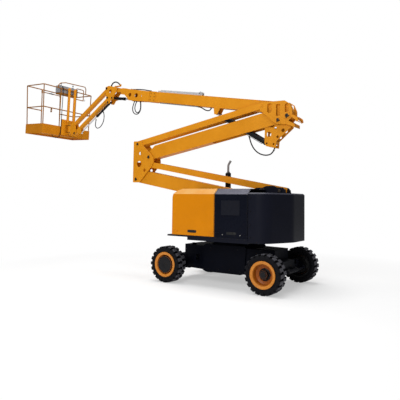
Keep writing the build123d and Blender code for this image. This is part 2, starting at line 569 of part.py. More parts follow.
# --------------------------------------------------------------- main boom
def main_boom(boom):
    tube = boom.beam(BOOM_REAR, BOOM_FRONT, BOOM_LOW, BOOM_HIGH, -BOOM_HALF, BOOM_HALF)
    tube += boom.beam(BOOM_FRONT - COLLAR_L, BOOM_FRONT, BOOM_LOW - 10, BOOM_HIGH + 10, -BOOM_HALF - 10, BOOM_HALF + 10)
    inner = BOOM_HALF - BOOM_WALL
    tube -= boom.beam(320, BOOM_FRONT + 1, BOOM_LOW + BOOM_WALL, BOOM_HIGH - BOOM_WALL, -inner, inner)
    root = boom.shape([(-70, -50), (40, -72), (500, BOOM_LOW), (500, BOOM_LOW + 40), (300, BOOM_HIGH), (60, BOOM_HIGH), (-70, 120)])
    tube += prism(root, -BOOM_HALF, BOOM_HALF) - boom.beam(320, 520, BOOM_LOW + BOOM_WALL, 400, -inner, inner)
    tube -= drum(boom.at(0), 35.05, -200, 200)
    u, v = LIFT_EYE
    cheek = boom.shape([(u - 112, BOOM_HIGH - 8), (u - 104, BOOM_LOW + 10), (u - 66, v + 30), (u - 44, v - 40), (u + 44, v - 40), (u + 64, v + 30),
                        (u + 92, BOOM_LOW + 10), (u + 112, BOOM_HIGH - 8)])
    lugs = pair(cheek, 78, BOOM_HALF + 2, 8)
    inside = boom.beam(u - 200, u + 200, BOOM_LOW + 1, BOOM_HIGH - 1, -BOOM_HALF + BOOM_WALL, BOOM_HALF - BOOM_WALL)
    tube += lugs - inside
    tube += boom.beam(u - 100, u + 100, BOOM_LOW - 10, BOOM_LOW + 1, -80, 80)
    tube += drums(boom.at(*LIFT_EYE), 30, 60, 84)
    save("boom_outer", tube)

    fly = boom.beam(FLY_REAR, BOOM_FRONT + 60, BOOM_LOW + 18, BOOM_HIGH - 18, -FLY_HALF, FLY_HALF)
    fly -= boom.beam(FLY_REAR - 1, BOOM_FRONT + 61, BOOM_LOW + 26, BOOM_HIGH - 26, -FLY_HALF + 8, FLY_HALF - 8)
    save("boom_fly", fly)

    ju, jv = JIB_PIVOT
    cheek = boom.shape([(BOOM_FRONT + 20, 26), (4640, 4), (4870, 4), (5060, 150), (ju - 240, 150), (ju - 240, 330), (5060, 330),
                        (4900, 318), (BOOM_FRONT + 20, 299)])
    head = pair(cheek, HEAD_IN, HEAD_OUT)
    for u, v, radius in ((4850, 158, 56), (4610, 160, 62)):
        head -= drum(boom.at(u, v), radius, -200, 200)
    head += boom.beam(BOOM_FRONT + 20, BOOM_FRONT + 60, 18, 302, -HEAD_OUT, HEAD_OUT)
    head -= boom.beam(BOOM_FRONT + 10, BOOM_FRONT + 70, BOOM_LOW + 18, BOOM_HIGH - 18, -FLY_HALF, FLY_HALF)
    head += boom.beam(BOOM_FRONT + 60, ju - 300, 290, 302, -HEAD_IN, HEAD_IN)
    head += boom.beam(BOOM_FRONT + 60, 4684, 18, 30, -HEAD_IN, HEAD_IN)
    nose = boom.shape([(ju - 470, 206), (ju - 254, 216), (ju - 70, jv - 62), (ju, jv - 60), (ju + 55, jv - 20), (ju + 55, jv + 20), (ju, jv + 60), (ju - 470, 300)])
    head += prism(nose, -62, 62) + prism(boom.shape([(ju - 470, 206), (ju - 300, 212), (ju - 300, 295), (ju - 470, 295)]), -HEAD_IN, HEAD_IN)
    head += drum(boom.at(*JIB_PIVOT), 28, -JIB_PLATE_OUT - 12, JIB_PLATE_OUT + 12)
    head += drums(boom.at(5056, 240), 34, HEAD_IN, HEAD_OUT + 2)
    head -= drum(boom.at(4412, 158), 18, -200, 200)
    ears = boom.shape([(4690, 25), (4700, 0), (4790, 0), (4806, 25), (4806, 90), (4690, 90)])
    head += pair(ears, 40, 54)
    head += boom.beam(4670, 4700, 60, 90, -HEAD_IN, HEAD_IN)
    save("boom_head", head)


# --------------------------------------------------------------------- jib
def jib(boom):
    pivot = boom.at(*JIB_PIVOT)
    low_pin = shift(pivot, JIB_LOW_PIN)
    top_pin = shift(low_pin, JIB_PARALLEL)
    level = shift(pivot, LEVEL_BASE)
    base = shift(low_pin, JIB_BASE)
    px, pz = pivot
    outline = [(px + 10, pz + 62), (px - 120, pz + 92), (px - 260, pz + 132), (px - 392, pz + 105), (px - 392, pz - 20),
               (px - 356, pz - 205), (px - 345, pz - 375), (px - 235, pz - 392), (px - 160, pz - 290), (px - 70, pz - 280),
               (px - 55, pz - 180), (px + 55, pz - 62), (px + 62, pz + 15)]
    plates = pair(outline, JIB_PLATE_IN, JIB_PLATE_OUT, 18)
    plates -= drum((px - 195, pz - 35), 52, -200, 200)
    plates -= drum(pivot, 28.05, -200, 200)
    for pin, radius in ((low_pin, 22), (top_pin, 22)):
        plates += drum(pin, radius, -JIB_PLATE_OUT - 10, JIB_PLATE_OUT + 10)
    plates += drums(level, 22, 50, JIB_PLATE_OUT + 8)
    plates += drums(base, 24, 50, JIB_PLATE_OUT + 8)
    spine = [(px - 100, pz + 72), (px - 215, pz + 102), (px - 222, pz + 80), (px - 107, pz + 50)]
    plates += prism(spine, -JIB_PLATE_IN, JIB_PLATE_IN)
    plates += block(px - 32, px + 150, -JIB_PLATE_OUT, -28, pz + 72, pz + 88)
    plates += prism([(px + 168, pz + 130), (px + 130, pz + 88), (px + 130, pz + 80), (px + 150, pz + 72), (px + 176, pz + 123)], -80, -28)
    plates += block(px - 32, px + 12, -JIB_PLATE_OUT, -JIB_PLATE_IN, pz + 40, pz + 96)
    save("jib_knuckle", plates)
    cylinder_pair("level_cylinder", level, boom.at(*LEVEL_EYE), 40, 21, 430, 34, 32, 275)

    lower = Member(low_pin, JIB_ANGLE, -1)
    upper = Member(top_pin, JIB_ANGLE, -1)
    for name, line, height in (("jib_lower_tube", lower, 84), ("jib_upper_tube", upper, 96)):
        tube = line.beam(40, JIB_L - 40, -height / 2, height / 2, -50, 50)
        tube -= line.beam(70, JIB_L - 70, -height / 2 + 6, height / 2 - 6, -44, 44)
        for u in (0, JIB_L):
            tube += drum(line.at(u), 46, -50, 50)
        for u in (20, JIB_L - 20):
            tube += line.beam(u - 24, u + 24, -height / 2, height / 2, -50, 50)
        for u in (0, JIB_L):
            tube -= drum(line.at(u), 22.05, -60, 60)
        if name == "jib_lower_tube":
            u, v = JIB_EYE
            ears = line.shape([(u - 90, -height / 2 + 3), (u - 40, v - 25), (u, v - 38), (u + 40, v - 25), (u + 80, -height / 2 + 3)])
            tube += pair(ears, 36, 50)
        save(name, tube)
    cylinder_pair("jib_cylinder", base, lower.at(*JIB_EYE), 31, 18, 640, 32, 29, 90)
    return lower.at(JIB_L), upper.at(JIB_L)


# ---------------------------------------------------------------- platform
def platform(low_pin, top_pin):
    swivel = Pos(SWIVEL_X, 0, PLATFORM_Z) * Rot(0, PLATFORM_TILT, 0)
    bx, bz = low_pin
    ux, uz = top_pin
    outline = [(bx + 55, bz - 50), (bx + 75, bz + 30), (ux + 70, uz - 40), (ux + 55, uz + 55), (ux - 60, uz + 60),
               (SWIVEL_X + 70, uz - 10), (SWIVEL_X + 70, bz - 50)]
    bracket = pair(outline, 56, 72)
    for pin in (low_pin, top_pin):
        bracket += drum(pin, 22, -82, 82)
    web = [(SWIVEL_X + 60, bz - 50), (bx - 100, bz - 50), (ux - 80, uz + 50), (SWIVEL_X + 60, uz - 10)]
    bracket += prism(web, -56, 56)
    bracket -= swivel * Pos(0, 0, 0) * Cylinder(122, 176)
    bracket -= swivel * Pos(0, 0, 442) * Cylinder(122, 200)
    bracket += swivel * Pos(0, 0, 215) * Cylinder(95, 250)
    save("platform_bracket", bracket)

    x0, x1 = BASKET_X
    y0 = BASKET_Y
    holder = Pos(0, 0, 72) * Cylinder(95, 24) + Pos(0, 0, 358) * Cylinder(95, 24)
    holder += block(x1 + 4, 0, -95, 95, 60, 84) + block(x1 + 4, 0, -95, 95, 346, 370)
    plate = flat([(0, -240), (0, 360), (20, 360), (20, -240)], 30, 512)
    holder += Pos(x1 + 4, 0, 0) * plate
    for y in POST_Y:
        holder += rod((x1 + 46, y, 420), (x1 + 46, y, BASKET_H + 20), 40)
        holder += block(x1 + 4, x1 + 86, y - 42, y + 42, 346, 430)
    save("platform_holder", swivel * holder)

    floor = block(x0 + 6, x1 - 6, -y0 + 6, y0 - 6, 60, 110)
    low, high = ENTRY_Y
    sides = block(x0, x0 + 6, -y0, low, 0, SKIRT_H) + block(x0, x0 + 6, high, y0, 0, SKIRT_H) + block(x0, x0 + 6, low, high, 0, 160)
    sides += block(x1 - 6, x1, -y0, y0, 0, SKIRT_H)
    ends = block(x0 + 6, x1 - 6, -y0, -y0 + 6, 0, SKIRT_H) + block(x0 + 6, x1 - 6, y0 - 6, y0, 0, SKIRT_H)
    floor = stack(floor, sides, ends)
    save("platform_floor", swivel * floor)

    r = RAIL_R
    xc, top = (x0 + x1) / 2, BASKET_H - r

    def at(x_side, y, z):
        """Point on the rail frame: x_side is -1 outside and +1 inside. Only the outside and the ends lean."""
        out = FLARE * (z - SKIRT_H) / (top - SKIRT_H)
        x = xc + x_side * ((x1 - x0) / 2 - r - 7) - (out if x_side < 0 else 0)
        return (x, y + (math.copysign(out, y) if abs(y) > y0 / 2 else 0), z)

    ye = y0 - r - 7
    cut, reach = ye - CORNER_R, (x1 - x0) / 2 + 200
    quarters = [block(x0 - 200, x1 + 200, -y0 - 200, -cut, 0, 2000), block(x0 - 200, x1 + 200, cut, y0 + 200, 0, 2000),
                block(xc - reach, xc, -cut, cut, 0, 2000), block(xc, xc + reach, -cut, cut, 0, 2000)]
    rails = []
    for z in (MID_RAIL, top):
        loop = [at(-1, -ye, z), at(1, -ye, z), at(1, ye, z), at(-1, ye, z)]
        path = FilletPolyline(*loop, radius=CORNER_R, close=True)
        ring = sweep(Plane(origin=path @ 0, z_dir=path % 0) * Circle(r), path=path)
        if z == MID_RAIL:
            ring -= block(x0 - 100, x0 + 200, low + 10, high - 10, z - 40, z + 40)
        rails += [ring & quarter for quarter in quarters]
    for x_side, y in ((-1, -ye + 12), (1, -ye + 12), (-1, ye - 12), (1, ye - 12), (-1, low), (-1, high), (1, -300), (1, 300)):
        rails.append(rod(at(x_side, y, 111), at(x_side, y, top), r - 1))
    xm, xt = at(1, 0, MID_RAIL)[0], at(1, 0, top)[0]
    for y in (-600, 600):
        anchor = block(xm - 64, xm, y - 5, y + 5, MID_RAIL - 130, MID_RAIL - 8)
        rails.append(anchor - drum((xm - 40, MID_RAIL - 70), 16, y - 20, y + 20))
    guard = [(-395, top), (-426, 1530), (-335, 1625), (-142, 1676), (655, 1704), (693, 1640), (693, top)]
    hoop = [(300, top), (300, 1582), (606, 1582), (606, 1239)]
    for points, a, b in ((guard, -142, 640), (hoop, 350, 558)):
        path = FilletPolyline(*[(xt, y, z) for y, z in points], radius=45)
        tube = sweep(Plane(origin=path @ 0, z_dir=path % 0) * Circle(14), path=path)
        for start, end in ((-y0, a), (a, b), (b, y0)):
            rails.append(tube & block(xt - 20, xt + 20, start, end, 1200, 1800))
    rails.append(rod((xt, 300, 1239), (xt, 613, 1239), 14))
    rails.append(block(xt - 230, xt - 20, -315, 385, 1300, 1340) + block(xt - 30, xt, -40, 60, 1310, 1335))
    save("platform_rails", swivel * stack(*rails))

    gate = None
    for y in ENTRY_Y:
        sleeve = rod(at(-1, y, GATE_Z - 45), at(-1, y, GATE_Z + 45), r + 7) - rod(at(-1, y, GATE_Z - 60), at(-1, y, GATE_Z + 60), r + 0.5)
        gate = sleeve if gate is None else gate + sleeve
    x, _, _ = at(-1, low, GATE_Z)
    gate += rod((x, at(-1, low, GATE_Z)[1] + r + 3, GATE_Z), (x, at(-1, high, GATE_Z)[1] - r - 3, GATE_Z), r - 2)
    save("platform_gate", swivel * gate)

    box = block(xt - 230, xt - 30, -310, 380, 1340, 1560)
    box += block(xt - 236, xt - 30, -322, -262, 1346, 1566)
    save("control_box", swivel * box)


# ------------------------------------------------------ hoses and carrier
def hose(name, points, diameter):
    """Flexible line through the points, every corner rounded as far as its runs allow."""
    corners = [Vector(*point) for point in points]
    edges, start, radii = [], corners[0], []
    for a, b, c in zip(corners, corners[1:], corners[2:]):
        back, ahead = (a - b).normalized(), (c - b).normalized()
        half = math.radians(back.get_angle(ahead)) / 2
        tangent = 0.45 * min((a - b).length, (c - b).length)
        radius = tangent * math.tan(half)
        middle = (back + ahead).normalized()
        centre = b + middle * (tangent / math.cos(half))
        edges.append(Edge.make_line(start, b + back * tangent))
        edges.append(Edge.make_three_point_arc(b + back * tangent, centre - middle * radius, b + ahead * tangent))
        start = b + ahead * tangent
        radii.append(round(radius))
    edges.append(Edge.make_line(start, corners[-1]))
    path = Wire(edges)
    section = Plane(origin=path @ 0, z_dir=path % 0) * Circle(diameter / 2)
    tube = sweep(section, path=path)
    ratio = tube.volume / (path.length * math.pi * diameter ** 2 / 4)
    print(f"{name}: length {path.length:.0f}, radii {radii}, volume ratio {ratio:.4f}")
    save(name, tube)


def lines(boom):
    carrier = boom.shape([(2420, 296), (2420, 322), (2436, 352), (2476, 374), (3780, 362), (3850, 340), (3868, 296)])
    save("cable_carrier", prism(carrier, -72, 24))
    (x0, z0), (x1, z1) = boom.at(2500, 14), boom.at(3745, 14)
    pipe = rod((x0, -48, z0), (x1, -48, z1), 14)
    for u in (2560, 3110, 3660):
        pipe += boom.beam(u - 20, u + 20, 4, BOOM_LOW, -66, -30)
    save("boom_pipe", pipe)

    def on_boom(points, y):
        return [(boom.at(u, v)[0], y, boom.at(u, v)[1]) for u, v in points]

    hose("boom_hose", on_boom([(2499, 14), (2395, 8), (2270, -52), (2150, -66), (2098, -20), (2090, 24)], -48), 28)
    hose("head_hose_a", on_boom([(4655, 11), (4694, -100), (4700, -240), (4625, -350), (4490, -368), (4405, -285), (4390, -150), (4440, 11)], -58), 26)
    hose("head_hose_b", on_boom([(4610, 11), (4650, -90), (4652, -210), (4585, -306), (4500, -314), (4440, -240), (4440, -120), (4485, 11)], -22), 26)
    hose("head_cable", on_boom([(4130, 317), (4260, 327), (4420, 338), (4600, 336), (4760, 322), (4880, 318)], -40), 28)

    px, pz = boom.at(*JIB_PIVOT)
    top = [(px - 209, pz + 104), (px - 202, pz + 155), (px - 155, pz + 204), (px - 80, pz + 230), (px + 5, pz + 217), (px + 82, pz + 170), (px + 147, pz + 111)]
    hose("knuckle_hose", [(x, -52, z) for x, z in top], 36)

    lift = shift(shift(boom.origin, (-BOOM_OFFSET[0], -BOOM_OFFSET[1])), LIFT_BASE_OFFSET)
    lx, lz = lift
    loop = [(lx - 494, lz + 207), (lx - 468, lz + 98), (lx - 410, lz - 40), (lx - 312, lz - 165), (lx - 170, lz - 248), (lx - 10, lz - 268),
            (lx + 100, lz - 228), (lx + 150, lz - 137)]
    hose("lift_hose", [(x, 0, z) for x, z in loop], 30)

    low_pin = shift((px, pz), JIB_LOW_PIN)
    jib_line = Member(low_pin, JIB_ANGLE, -1)
    loop = [(424, -176), (438, -262), (520, -380), (640, -462), (790, -486), (900, -430), (915, -330), (850, -246), (775, -176)]
    hose("jib_hose", [(jib_line.at(u, v)[0], 0, jib_line.at(u, v)[1]) for u, v in loop], 24)

    swivel = Pos(SWIVEL_X, 0, PLATFORM_Z) * Rot(0, PLATFORM_TILT, 0)
    x1 = BASKET_X[1]
    run = [(x1 - 45, -242, 1522), (x1 - 14, -243, 1524), (x1 + 16, -245, 1494), (x1 + 34, -252, 1400), (x1 + 38, -264, 1310)]
    run += [(x1 + 36 - 3 * k, -270 + 5 * (k % 2), 1200 - 200 * k) for k in range(6)]
    run += [(x1 + 22, -276, 30), (x1 + 12, -325, -66), (x1 - 8, -430, -96), (x1 - 30, -535, -50), (x1 - 36, -562, 50)]
    points = [swivel * Pos(*point) for point in run]
    hose("platform_cable", [(p.position.X, p.position.Y, p.position.Z) for p in points], 20)


chassis()
wheels()
turntable()
hoods()
main_line = riser()
main_boom(main_line)
platform(*jib(main_line))
lines(main_line)
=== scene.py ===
"""An articulating boom lift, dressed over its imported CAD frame, as a lesson in cells."""
# %% [markdown]
# # An articulating boom lift
# The machine is a wheeled chassis, a slewing turntable, a riser of two arms that
# fold like a Z, a telescopic boom, a short jib and a work platform. The packed
# model already holds every steel shape at its true place and size, in metres.
# This script keeps those shapes, paints them, and adds what a welder, a fitter
# and a painter add: pins, bolts, seams, hoses, latches and controls.

# %% Load the frame
import bpy
import json
import math
import numpy as np
from mathutils import Matrix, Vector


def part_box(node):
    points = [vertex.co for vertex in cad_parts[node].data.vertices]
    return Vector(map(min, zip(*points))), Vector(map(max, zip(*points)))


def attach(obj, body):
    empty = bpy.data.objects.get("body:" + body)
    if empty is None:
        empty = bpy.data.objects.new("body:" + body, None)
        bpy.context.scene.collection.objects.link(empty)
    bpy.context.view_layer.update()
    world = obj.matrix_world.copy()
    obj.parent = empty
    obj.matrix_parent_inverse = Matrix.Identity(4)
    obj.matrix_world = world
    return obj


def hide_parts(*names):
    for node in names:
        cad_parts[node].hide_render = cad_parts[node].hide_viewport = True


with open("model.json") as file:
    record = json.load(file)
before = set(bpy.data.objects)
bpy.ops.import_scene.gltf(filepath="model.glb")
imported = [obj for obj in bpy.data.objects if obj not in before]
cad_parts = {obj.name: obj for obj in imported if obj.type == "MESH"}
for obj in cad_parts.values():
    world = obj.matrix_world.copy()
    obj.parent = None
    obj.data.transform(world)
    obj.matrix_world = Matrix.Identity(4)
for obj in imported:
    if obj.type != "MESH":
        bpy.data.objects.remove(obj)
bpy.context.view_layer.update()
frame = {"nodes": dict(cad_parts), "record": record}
JOINTS = {joint["name"]: joint for joint in frame["record"]["behaviour"]["joints"]}
print("nodes:", len(frame["nodes"]), "joints:", len(JOINTS))

# %% [markdown]
# ## The camera
# It stands a little below the covers' tops, ahead of the steered axle on the
# near side, and looks slightly up along the machine. Its turn is given as
# three angles: the heading, the tilt upwards, and a small roll.

# %% Camera
def put(name, data):
    """A new object in the scene."""
    obj = bpy.data.objects.new(name, data)
    bpy.context.scene.collection.objects.link(obj)
    return obj


def pose(right, above, back, at):
    """The matrix of a camera or a lamp: its own x, y and z, and its place. Both look along -z."""
    turn = np.eye(4)
    turn[:3] = np.column_stack([right, above, back, at])
    return Matrix(turn.tolist())


CAMERA_AT = (5.381, -9.68, 1.928)
HEADING, TILT, ROLL = math.radians(33.51), math.radians(3.36), math.radians(0.8)
camera_data = bpy.data.cameras.new("camera")
camera_data.lens = 41.47
camera_data.sensor_width = 36
camera_data.shift_y = -0.068
camera = put("camera", camera_data)
ahead = np.array([-math.sin(HEADING) * math.cos(TILT), math.cos(HEADING) * math.cos(TILT), math.sin(TILT)])
level = np.cross(ahead, [0, 0, 1])
level /= np.linalg.norm(level)
upright = np.cross(level, ahead)
right = math.cos(ROLL) * level + math.sin(ROLL) * upright
above = -math.sin(ROLL) * level + math.cos(ROLL) * upright
camera.matrix_world = pose(right, above, -ahead, CAMERA_AT)
bpy.context.scene.camera = camera
print("camera height:", CAMERA_AT[2], "m")

# %% [markdown]
# ## Shapes from arrays
# Every added piece is worked out as arrays of points. A *loft* joins equal
# sections in a row, and a *turned* shape is a profile spun round an axis, as
# on a lathe. Both are closed, and their faces are made to point outwards by
# looking at the sign of the volume that they enclose.

# %% Loft
def outward(points, faces):
    """Flips all faces if the volume they enclose, the sum of dot(a, cross(b, c)) / 6, is negative."""
    total = 0.0
    for size in {len(face) for face in faces}:
        ring = points[np.array([face for face in faces if len(face) == size])]
        for k in range(1, size - 1):
            total += np.einsum("ij,ij->", ring[:, 0], np.cross(ring[:, k], ring[:, k + 1]))
    return points, (faces if total > 0 else [face[::-1] for face in faces])


def loft(sections, ring=False):
    """Joins sections of shape (n, m, 3): point j of section i goes to point j of section i + 1."""
    sections = np.asarray(sections, float)
    n, m = sections.shape[:2]
    i, j = np.meshgrid(np.arange(n if ring else n - 1), np.arange(m), indexing="ij")
    a, b = i * m + j, i * m + (j + 1) % m
    c, d = ((i + 1) % n) * m + (j + 1) % m, ((i + 1) % n) * m + j
    faces = np.stack([a, b, c, d], -1).reshape(-1, 4).tolist()
    if not ring:
        faces += [list(range(m))[::-1], list(range((n - 1) * m, n * m))]
    return outward(sections.reshape(-1, 3), faces)


# %% Turned shapes
def axes(direction):
    """Two unit vectors square to a direction and to each other."""
    w = np.asarray(direction, float) / np.linalg.norm(direction)
    side = np.cross([0.0, 0.0, 1.0] if abs(w[2]) < 0.9 else [1.0, 0.0, 0.0], w)
    u = side / np.linalg.norm(side)
    return u, np.cross(w, u), w


def spokes(u, v, count, start=0.0):
    """Unit vectors at equal angles in the plane of u and v: cos t u + sin t v."""
    t = start + np.linspace(0, 2 * np.pi, count, endpoint=False)
    return np.cos(t)[:, None] * u + np.sin(t)[:, None] * v


def turned(profile, at, direction, count=32):
    """Spins rows (radius, height) round the axis: at + r (cos t u + sin t v) + h w."""
    u, v, w = axes(direction)
    profile = np.asarray(profile, float)
    return loft(np.asarray(at, float) + profile[:, :1, None] * spokes(u, v, count) + profile[:, 1:, None] * w)


def band(inner, outer, half, lip):
    """The profile of a low ring: half its length at its inner and at its outer radius."""
    return [(inner, -half), (outer, -lip), (outer, lip), (inner, half)]


def torus(at, direction, radius, thick, count=48, around=10):
    """A ring: the centre line's circle of a radius, with a round section of a half thickness."""
    u, v, w = axes(direction)
    s = np.linspace(0, 2 * np.pi, around, endpoint=False)
    reach = (radius + thick * np.cos(s))[None, :, None]
    rise = (thick * np.sin(s))[None, :, None]
    return loft(np.asarray(at, float) + spokes(u, v, count)[:, None] * reach + rise * w, True)


# %% Boxes, plates and tubes
def slab(corner, opposite, edge=0.003):
    """A box between two opposite corners, its edges cut: four sections, the end ones drawn in by the edge."""
    low, high = np.minimum(corner, opposite), np.maximum(corner, opposite)
    e = min(edge, 0.3 * float((high - low).min()))

    def section(z, inset):
        x0, y0, x1, y1 = low[0] + inset, low[1] + inset, high[0] - inset, high[1] - inset
        return [(x0 + e, y0, z), (x1 - e, y0, z), (x1, y0 + e, z), (x1, y1 - e, z),
                (x1 - e, y1, z), (x0 + e, y1, z), (x0, y1 - e, z), (x0, y0 + e, z)]

    return loft([section(low[2], e), section(low[2] + e, 0), section(high[2] - e, 0), section(high[2], e)])


def plate(outline, y_low, y_high):
    """A flat plate: an outline of (x, z) points carried from one y to another."""
    x, z = np.asarray(outline, float).T
    return loft([np.column_stack([x, np.full(len(x), y), z]) for y in (y_low, y_high)])


def tube(path, radius, count=12):
    """A round tube along a path: each point carries a circle square to the mean of its two runs."""
    path = np.asarray(path, float)
    run = np.gradient(path, axis=0)
    run /= np.linalg.norm(run, axis=1)[:, None]
    first = axes(run[0])[0]
    side = first - run * (run @ first)[:, None]
    side /= np.linalg.norm(side, axis=1)[:, None]
    other = np.cross(run, side)
    return loft([at + radius * spokes(u, v, count) for at, u, v in zip(path, side, other)])


# %% Places on a member
def member(origin, towards):
    """Gives f(u, v, y): u along the line from one point to another, v square to it and upwards, y across."""
    origin = np.asarray(origin, float)
    along = np.asarray(towards, float) - origin
    along = along / np.linalg.norm(along)
    up = np.array([-along[2], 0.0, along[0]]) * math.copysign(1.0, along[0])
    across = np.array([0.0, 1.0, 0.0])
    outer = np.multiply.outer
    return lambda u, v, y=0.0: origin + outer(u, along) + outer(v, up) + outer(y, across)


def laid(line, shape):
    """A shape drawn with x along, y across and z up is laid on a member."""
    points, faces = shape
    return outward(line(points[:, 0], points[:, 2], points[:, 1]), faces)


def seam(start, end, leg=0.005, pitch=0.01):
    """A weld bead: a thin tube whose half thickness swells by a seventh at every pitch, as its ripples do."""
    start, end = np.asarray(start, float), np.asarray(end, float)
    count = max(4, int(np.linalg.norm(end - start) / pitch * 2))
    t = np.linspace(0.0, 1.0, count)
    u, v, _ = axes(end - start)
    size = leg * (1.0 + 0.14 * np.cos(np.arange(count) * np.pi))
    return loft(start + t[:, None, None] * (end - start) + size[:, None, None] * spokes(u, v, 6))


# %% A piece from its parts
def piece(name, parts, material, body, crease=35):
    """Joins parts into one mesh, smooth but for its sharp edges, and rides it on a body."""
    starts = np.cumsum([0] + [len(points) for points, _ in parts]).tolist()
    points = np.vstack([points for points, _ in parts])
    faces = [[k + start for k in face] for (_, group), start in zip(parts, starts) for face in group]
    mesh = bpy.data.meshes.new(name)
    mesh.from_pydata(points.tolist(), [], faces)
    mesh.polygons.foreach_set("use_smooth", np.ones(len(mesh.polygons), bool))
    mesh.set_sharp_from_angle(angle=math.radians(crease))
    mesh.materials.append(material)
    obj = put(name, mesh)
    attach(obj, body)
    return obj


print("shape helpers ready")

# %% [markdown]
# ## Paint
# Machine paint is a coat of colour under a thin gloss. Up close it has orange
# peel, a fine bump from spraying, and a pale film lies on what faces up: dust,
# and on the covers also a painted highlight, the sky's sheen on their tops and
# bevels. All patterns read Object coordinates, which are metres here,
# so a scale of 400 means grains of about 2.5 mm.

# %% Nodes
class Nodes:
    """The nodes of a material or a world. A value is a socket, a number or a colour's triple."""

    def __init__(self, owner):
        owner.use_nodes = True
        self.owner, self.tree = owner, owner.node_tree
        self.place = self.add("TexCoord").outputs["Object"]

    def fill(self, node, values):
        """Links or sets a node's inputs, by name or by number."""
        for key, value in values.items():
            if isinstance(value, bpy.types.NodeSocket):
                self.tree.links.new(value, node.inputs[key])
            else:
                node.inputs[key].default_value = (*value, 1.0) if isinstance(value, tuple) else value

    def add(self, kind, values=None, **settings):
        """A new node of a kind, with its settings and its inputs."""
        node = self.tree.nodes.new("ShaderNode" + kind)
        for key, value in settings.items():
            setattr(node, key, value)
        self.fill(node, values or {})
        return node

    def noise(self, scale, detail=3.0, roughness=0.5):
        """A cloudy factor, mostly from 0.3 to 0.7, with about one cloud in every 1 / scale metres."""
        inputs = {"Vector": self.place, "Scale": scale, "Detail": detail, "Roughness": roughness}
        return self.add("TexNoise", inputs).outputs["Fac"]

    def between(self, factor, low, high, start=0.0, end=1.0):
        """Maps a factor from low..high to start..end."""
        inputs = {"Value": factor, "From Min": low, "From Max": high, "To Min": start, "To Max": end}
        return self.add("MapRange", inputs).outputs["Result"]

    def math(self, operation, *values):
        """One step of arithmetic on one or two values."""
        return self.add("Math", dict(enumerate(values)), operation=operation).outputs[0]

    def parts(self, vector):
        """The X, Y and Z of a vector."""
        return self.add("SeparateXYZ", {"Vector": vector}).outputs

    def blend(self, factor, first, second):
        """Mixes two colours by a factor."""
        inputs = {"Factor": factor, "A": first, "B": second}
        return self.add("Mix", inputs, data_type="RGBA").outputs["Result"]

    def show(self, output, factor, first, second):
        """Sends a mix of two shaders, by a factor, to the output."""
        mix = self.add("MixShader", {"Fac": factor, 1: first.outputs[0], 2: second.outputs[0]})
        self.fill(self.tree.nodes[output], {"Surface": mix.outputs[0]})


# %% Paint material
def finish(name, colour, rough, shine, grain, strength, depth, more=None):
    """A material whose colour and roughness come from functions of its nodes; a bump's depth is in metres."""
    nodes = Nodes(bpy.data.materials.new(name))
    bump = nodes.add("Bump", {"Strength": strength, "Distance": depth, "Height": nodes.noise(*grain)})
    inputs = {"Base Color": colour(nodes), "Roughness": rough(nodes), "Specular IOR Level": shine,
              "Normal": bump.outputs["Normal"]}
    nodes.fill(nodes.tree.nodes["Principled BSDF"], inputs | (more or {}))
    return nodes.owner


def paint(name, colour, dark, dust_and_sheen, rough, coat, dusty=0.1, shine=0.22):
    """Paint: cloudy between two tones, with a pale film where it faces up (dust, and a painted highlight of
    the sky on the covers), with orange peel under a clear coat.
    """
    def tones(nodes):
        tone = nodes.blend(nodes.between(nodes.noise(2.3, 5.0, 0.6), 0.35, 0.7), colour, dark)
        normal = nodes.add("NewGeometry").outputs["Normal"]
        up = nodes.between(nodes.parts(normal)["Z"], 0.35, 0.95)  # 0 at 20 degrees from upright, 1 when flat
        grain = nodes.between(nodes.noise(3.5, 4.0, 0.55), 0.3, 0.7, dusty * 0.75, dusty * 1.25)
        # the film on what faces up: dust, and on the covers a painted highlight where the sky would shine
        return nodes.blend(nodes.math("MULTIPLY", up, grain), tone, dust_and_sheen)

    def worn(nodes):
        return nodes.between(nodes.noise(22.0, 4.0, 0.7), 0.3, 0.75, rough - 0.05, rough + 0.09)

    return finish(name, tones, worn, shine, (420.0, 2.0), 0.1, 0.0006,
                  {"Coat Weight": coat, "Coat Roughness": 0.16})


# %% Paints
# Each call gives the name, the colour, a darker tone of it and the colour of the film on what faces up
# (dust, with a painted sky highlight on the covers), then the roughness, the weight of the clear coat,
# how strong that film is and how much it reflects.
DUST = (0.55, 0.47, 0.36)
YELLOW = paint(
    "machine yellow", (0.69, 0.268, 0.01), (0.62, 0.232, 0.006), DUST,
    0.4, 0.02, 0.16, 0.14)
# Rail yellow and deck yellow are darker copies of the machine yellow: painted shade on the platform's rails,
# gate and floor.
SHADED_RAIL_YELLOW = paint(
    "rail yellow", (0.3, 0.125, 0.016), (0.235, 0.092, 0.01), DUST,
    0.42, 0.02, 0.1, 0.1)
SHADED_DECK_YELLOW = paint(
    "deck yellow", (0.56, 0.2, 0.007), (0.49, 0.168, 0.004), DUST,
    0.4, 0.02, 0.12, 0.12)
# The cover yellow's pale film and its strength paint the sky's highlight on the covers' tops and bevels,
# besides dust.
COVER_YELLOW = paint(
    "cover yellow", (0.64, 0.214, 0.002), (0.6, 0.198, 0.002), (0.62, 0.5, 0.22),
    0.3, 0.02, 0.5, 0.1)
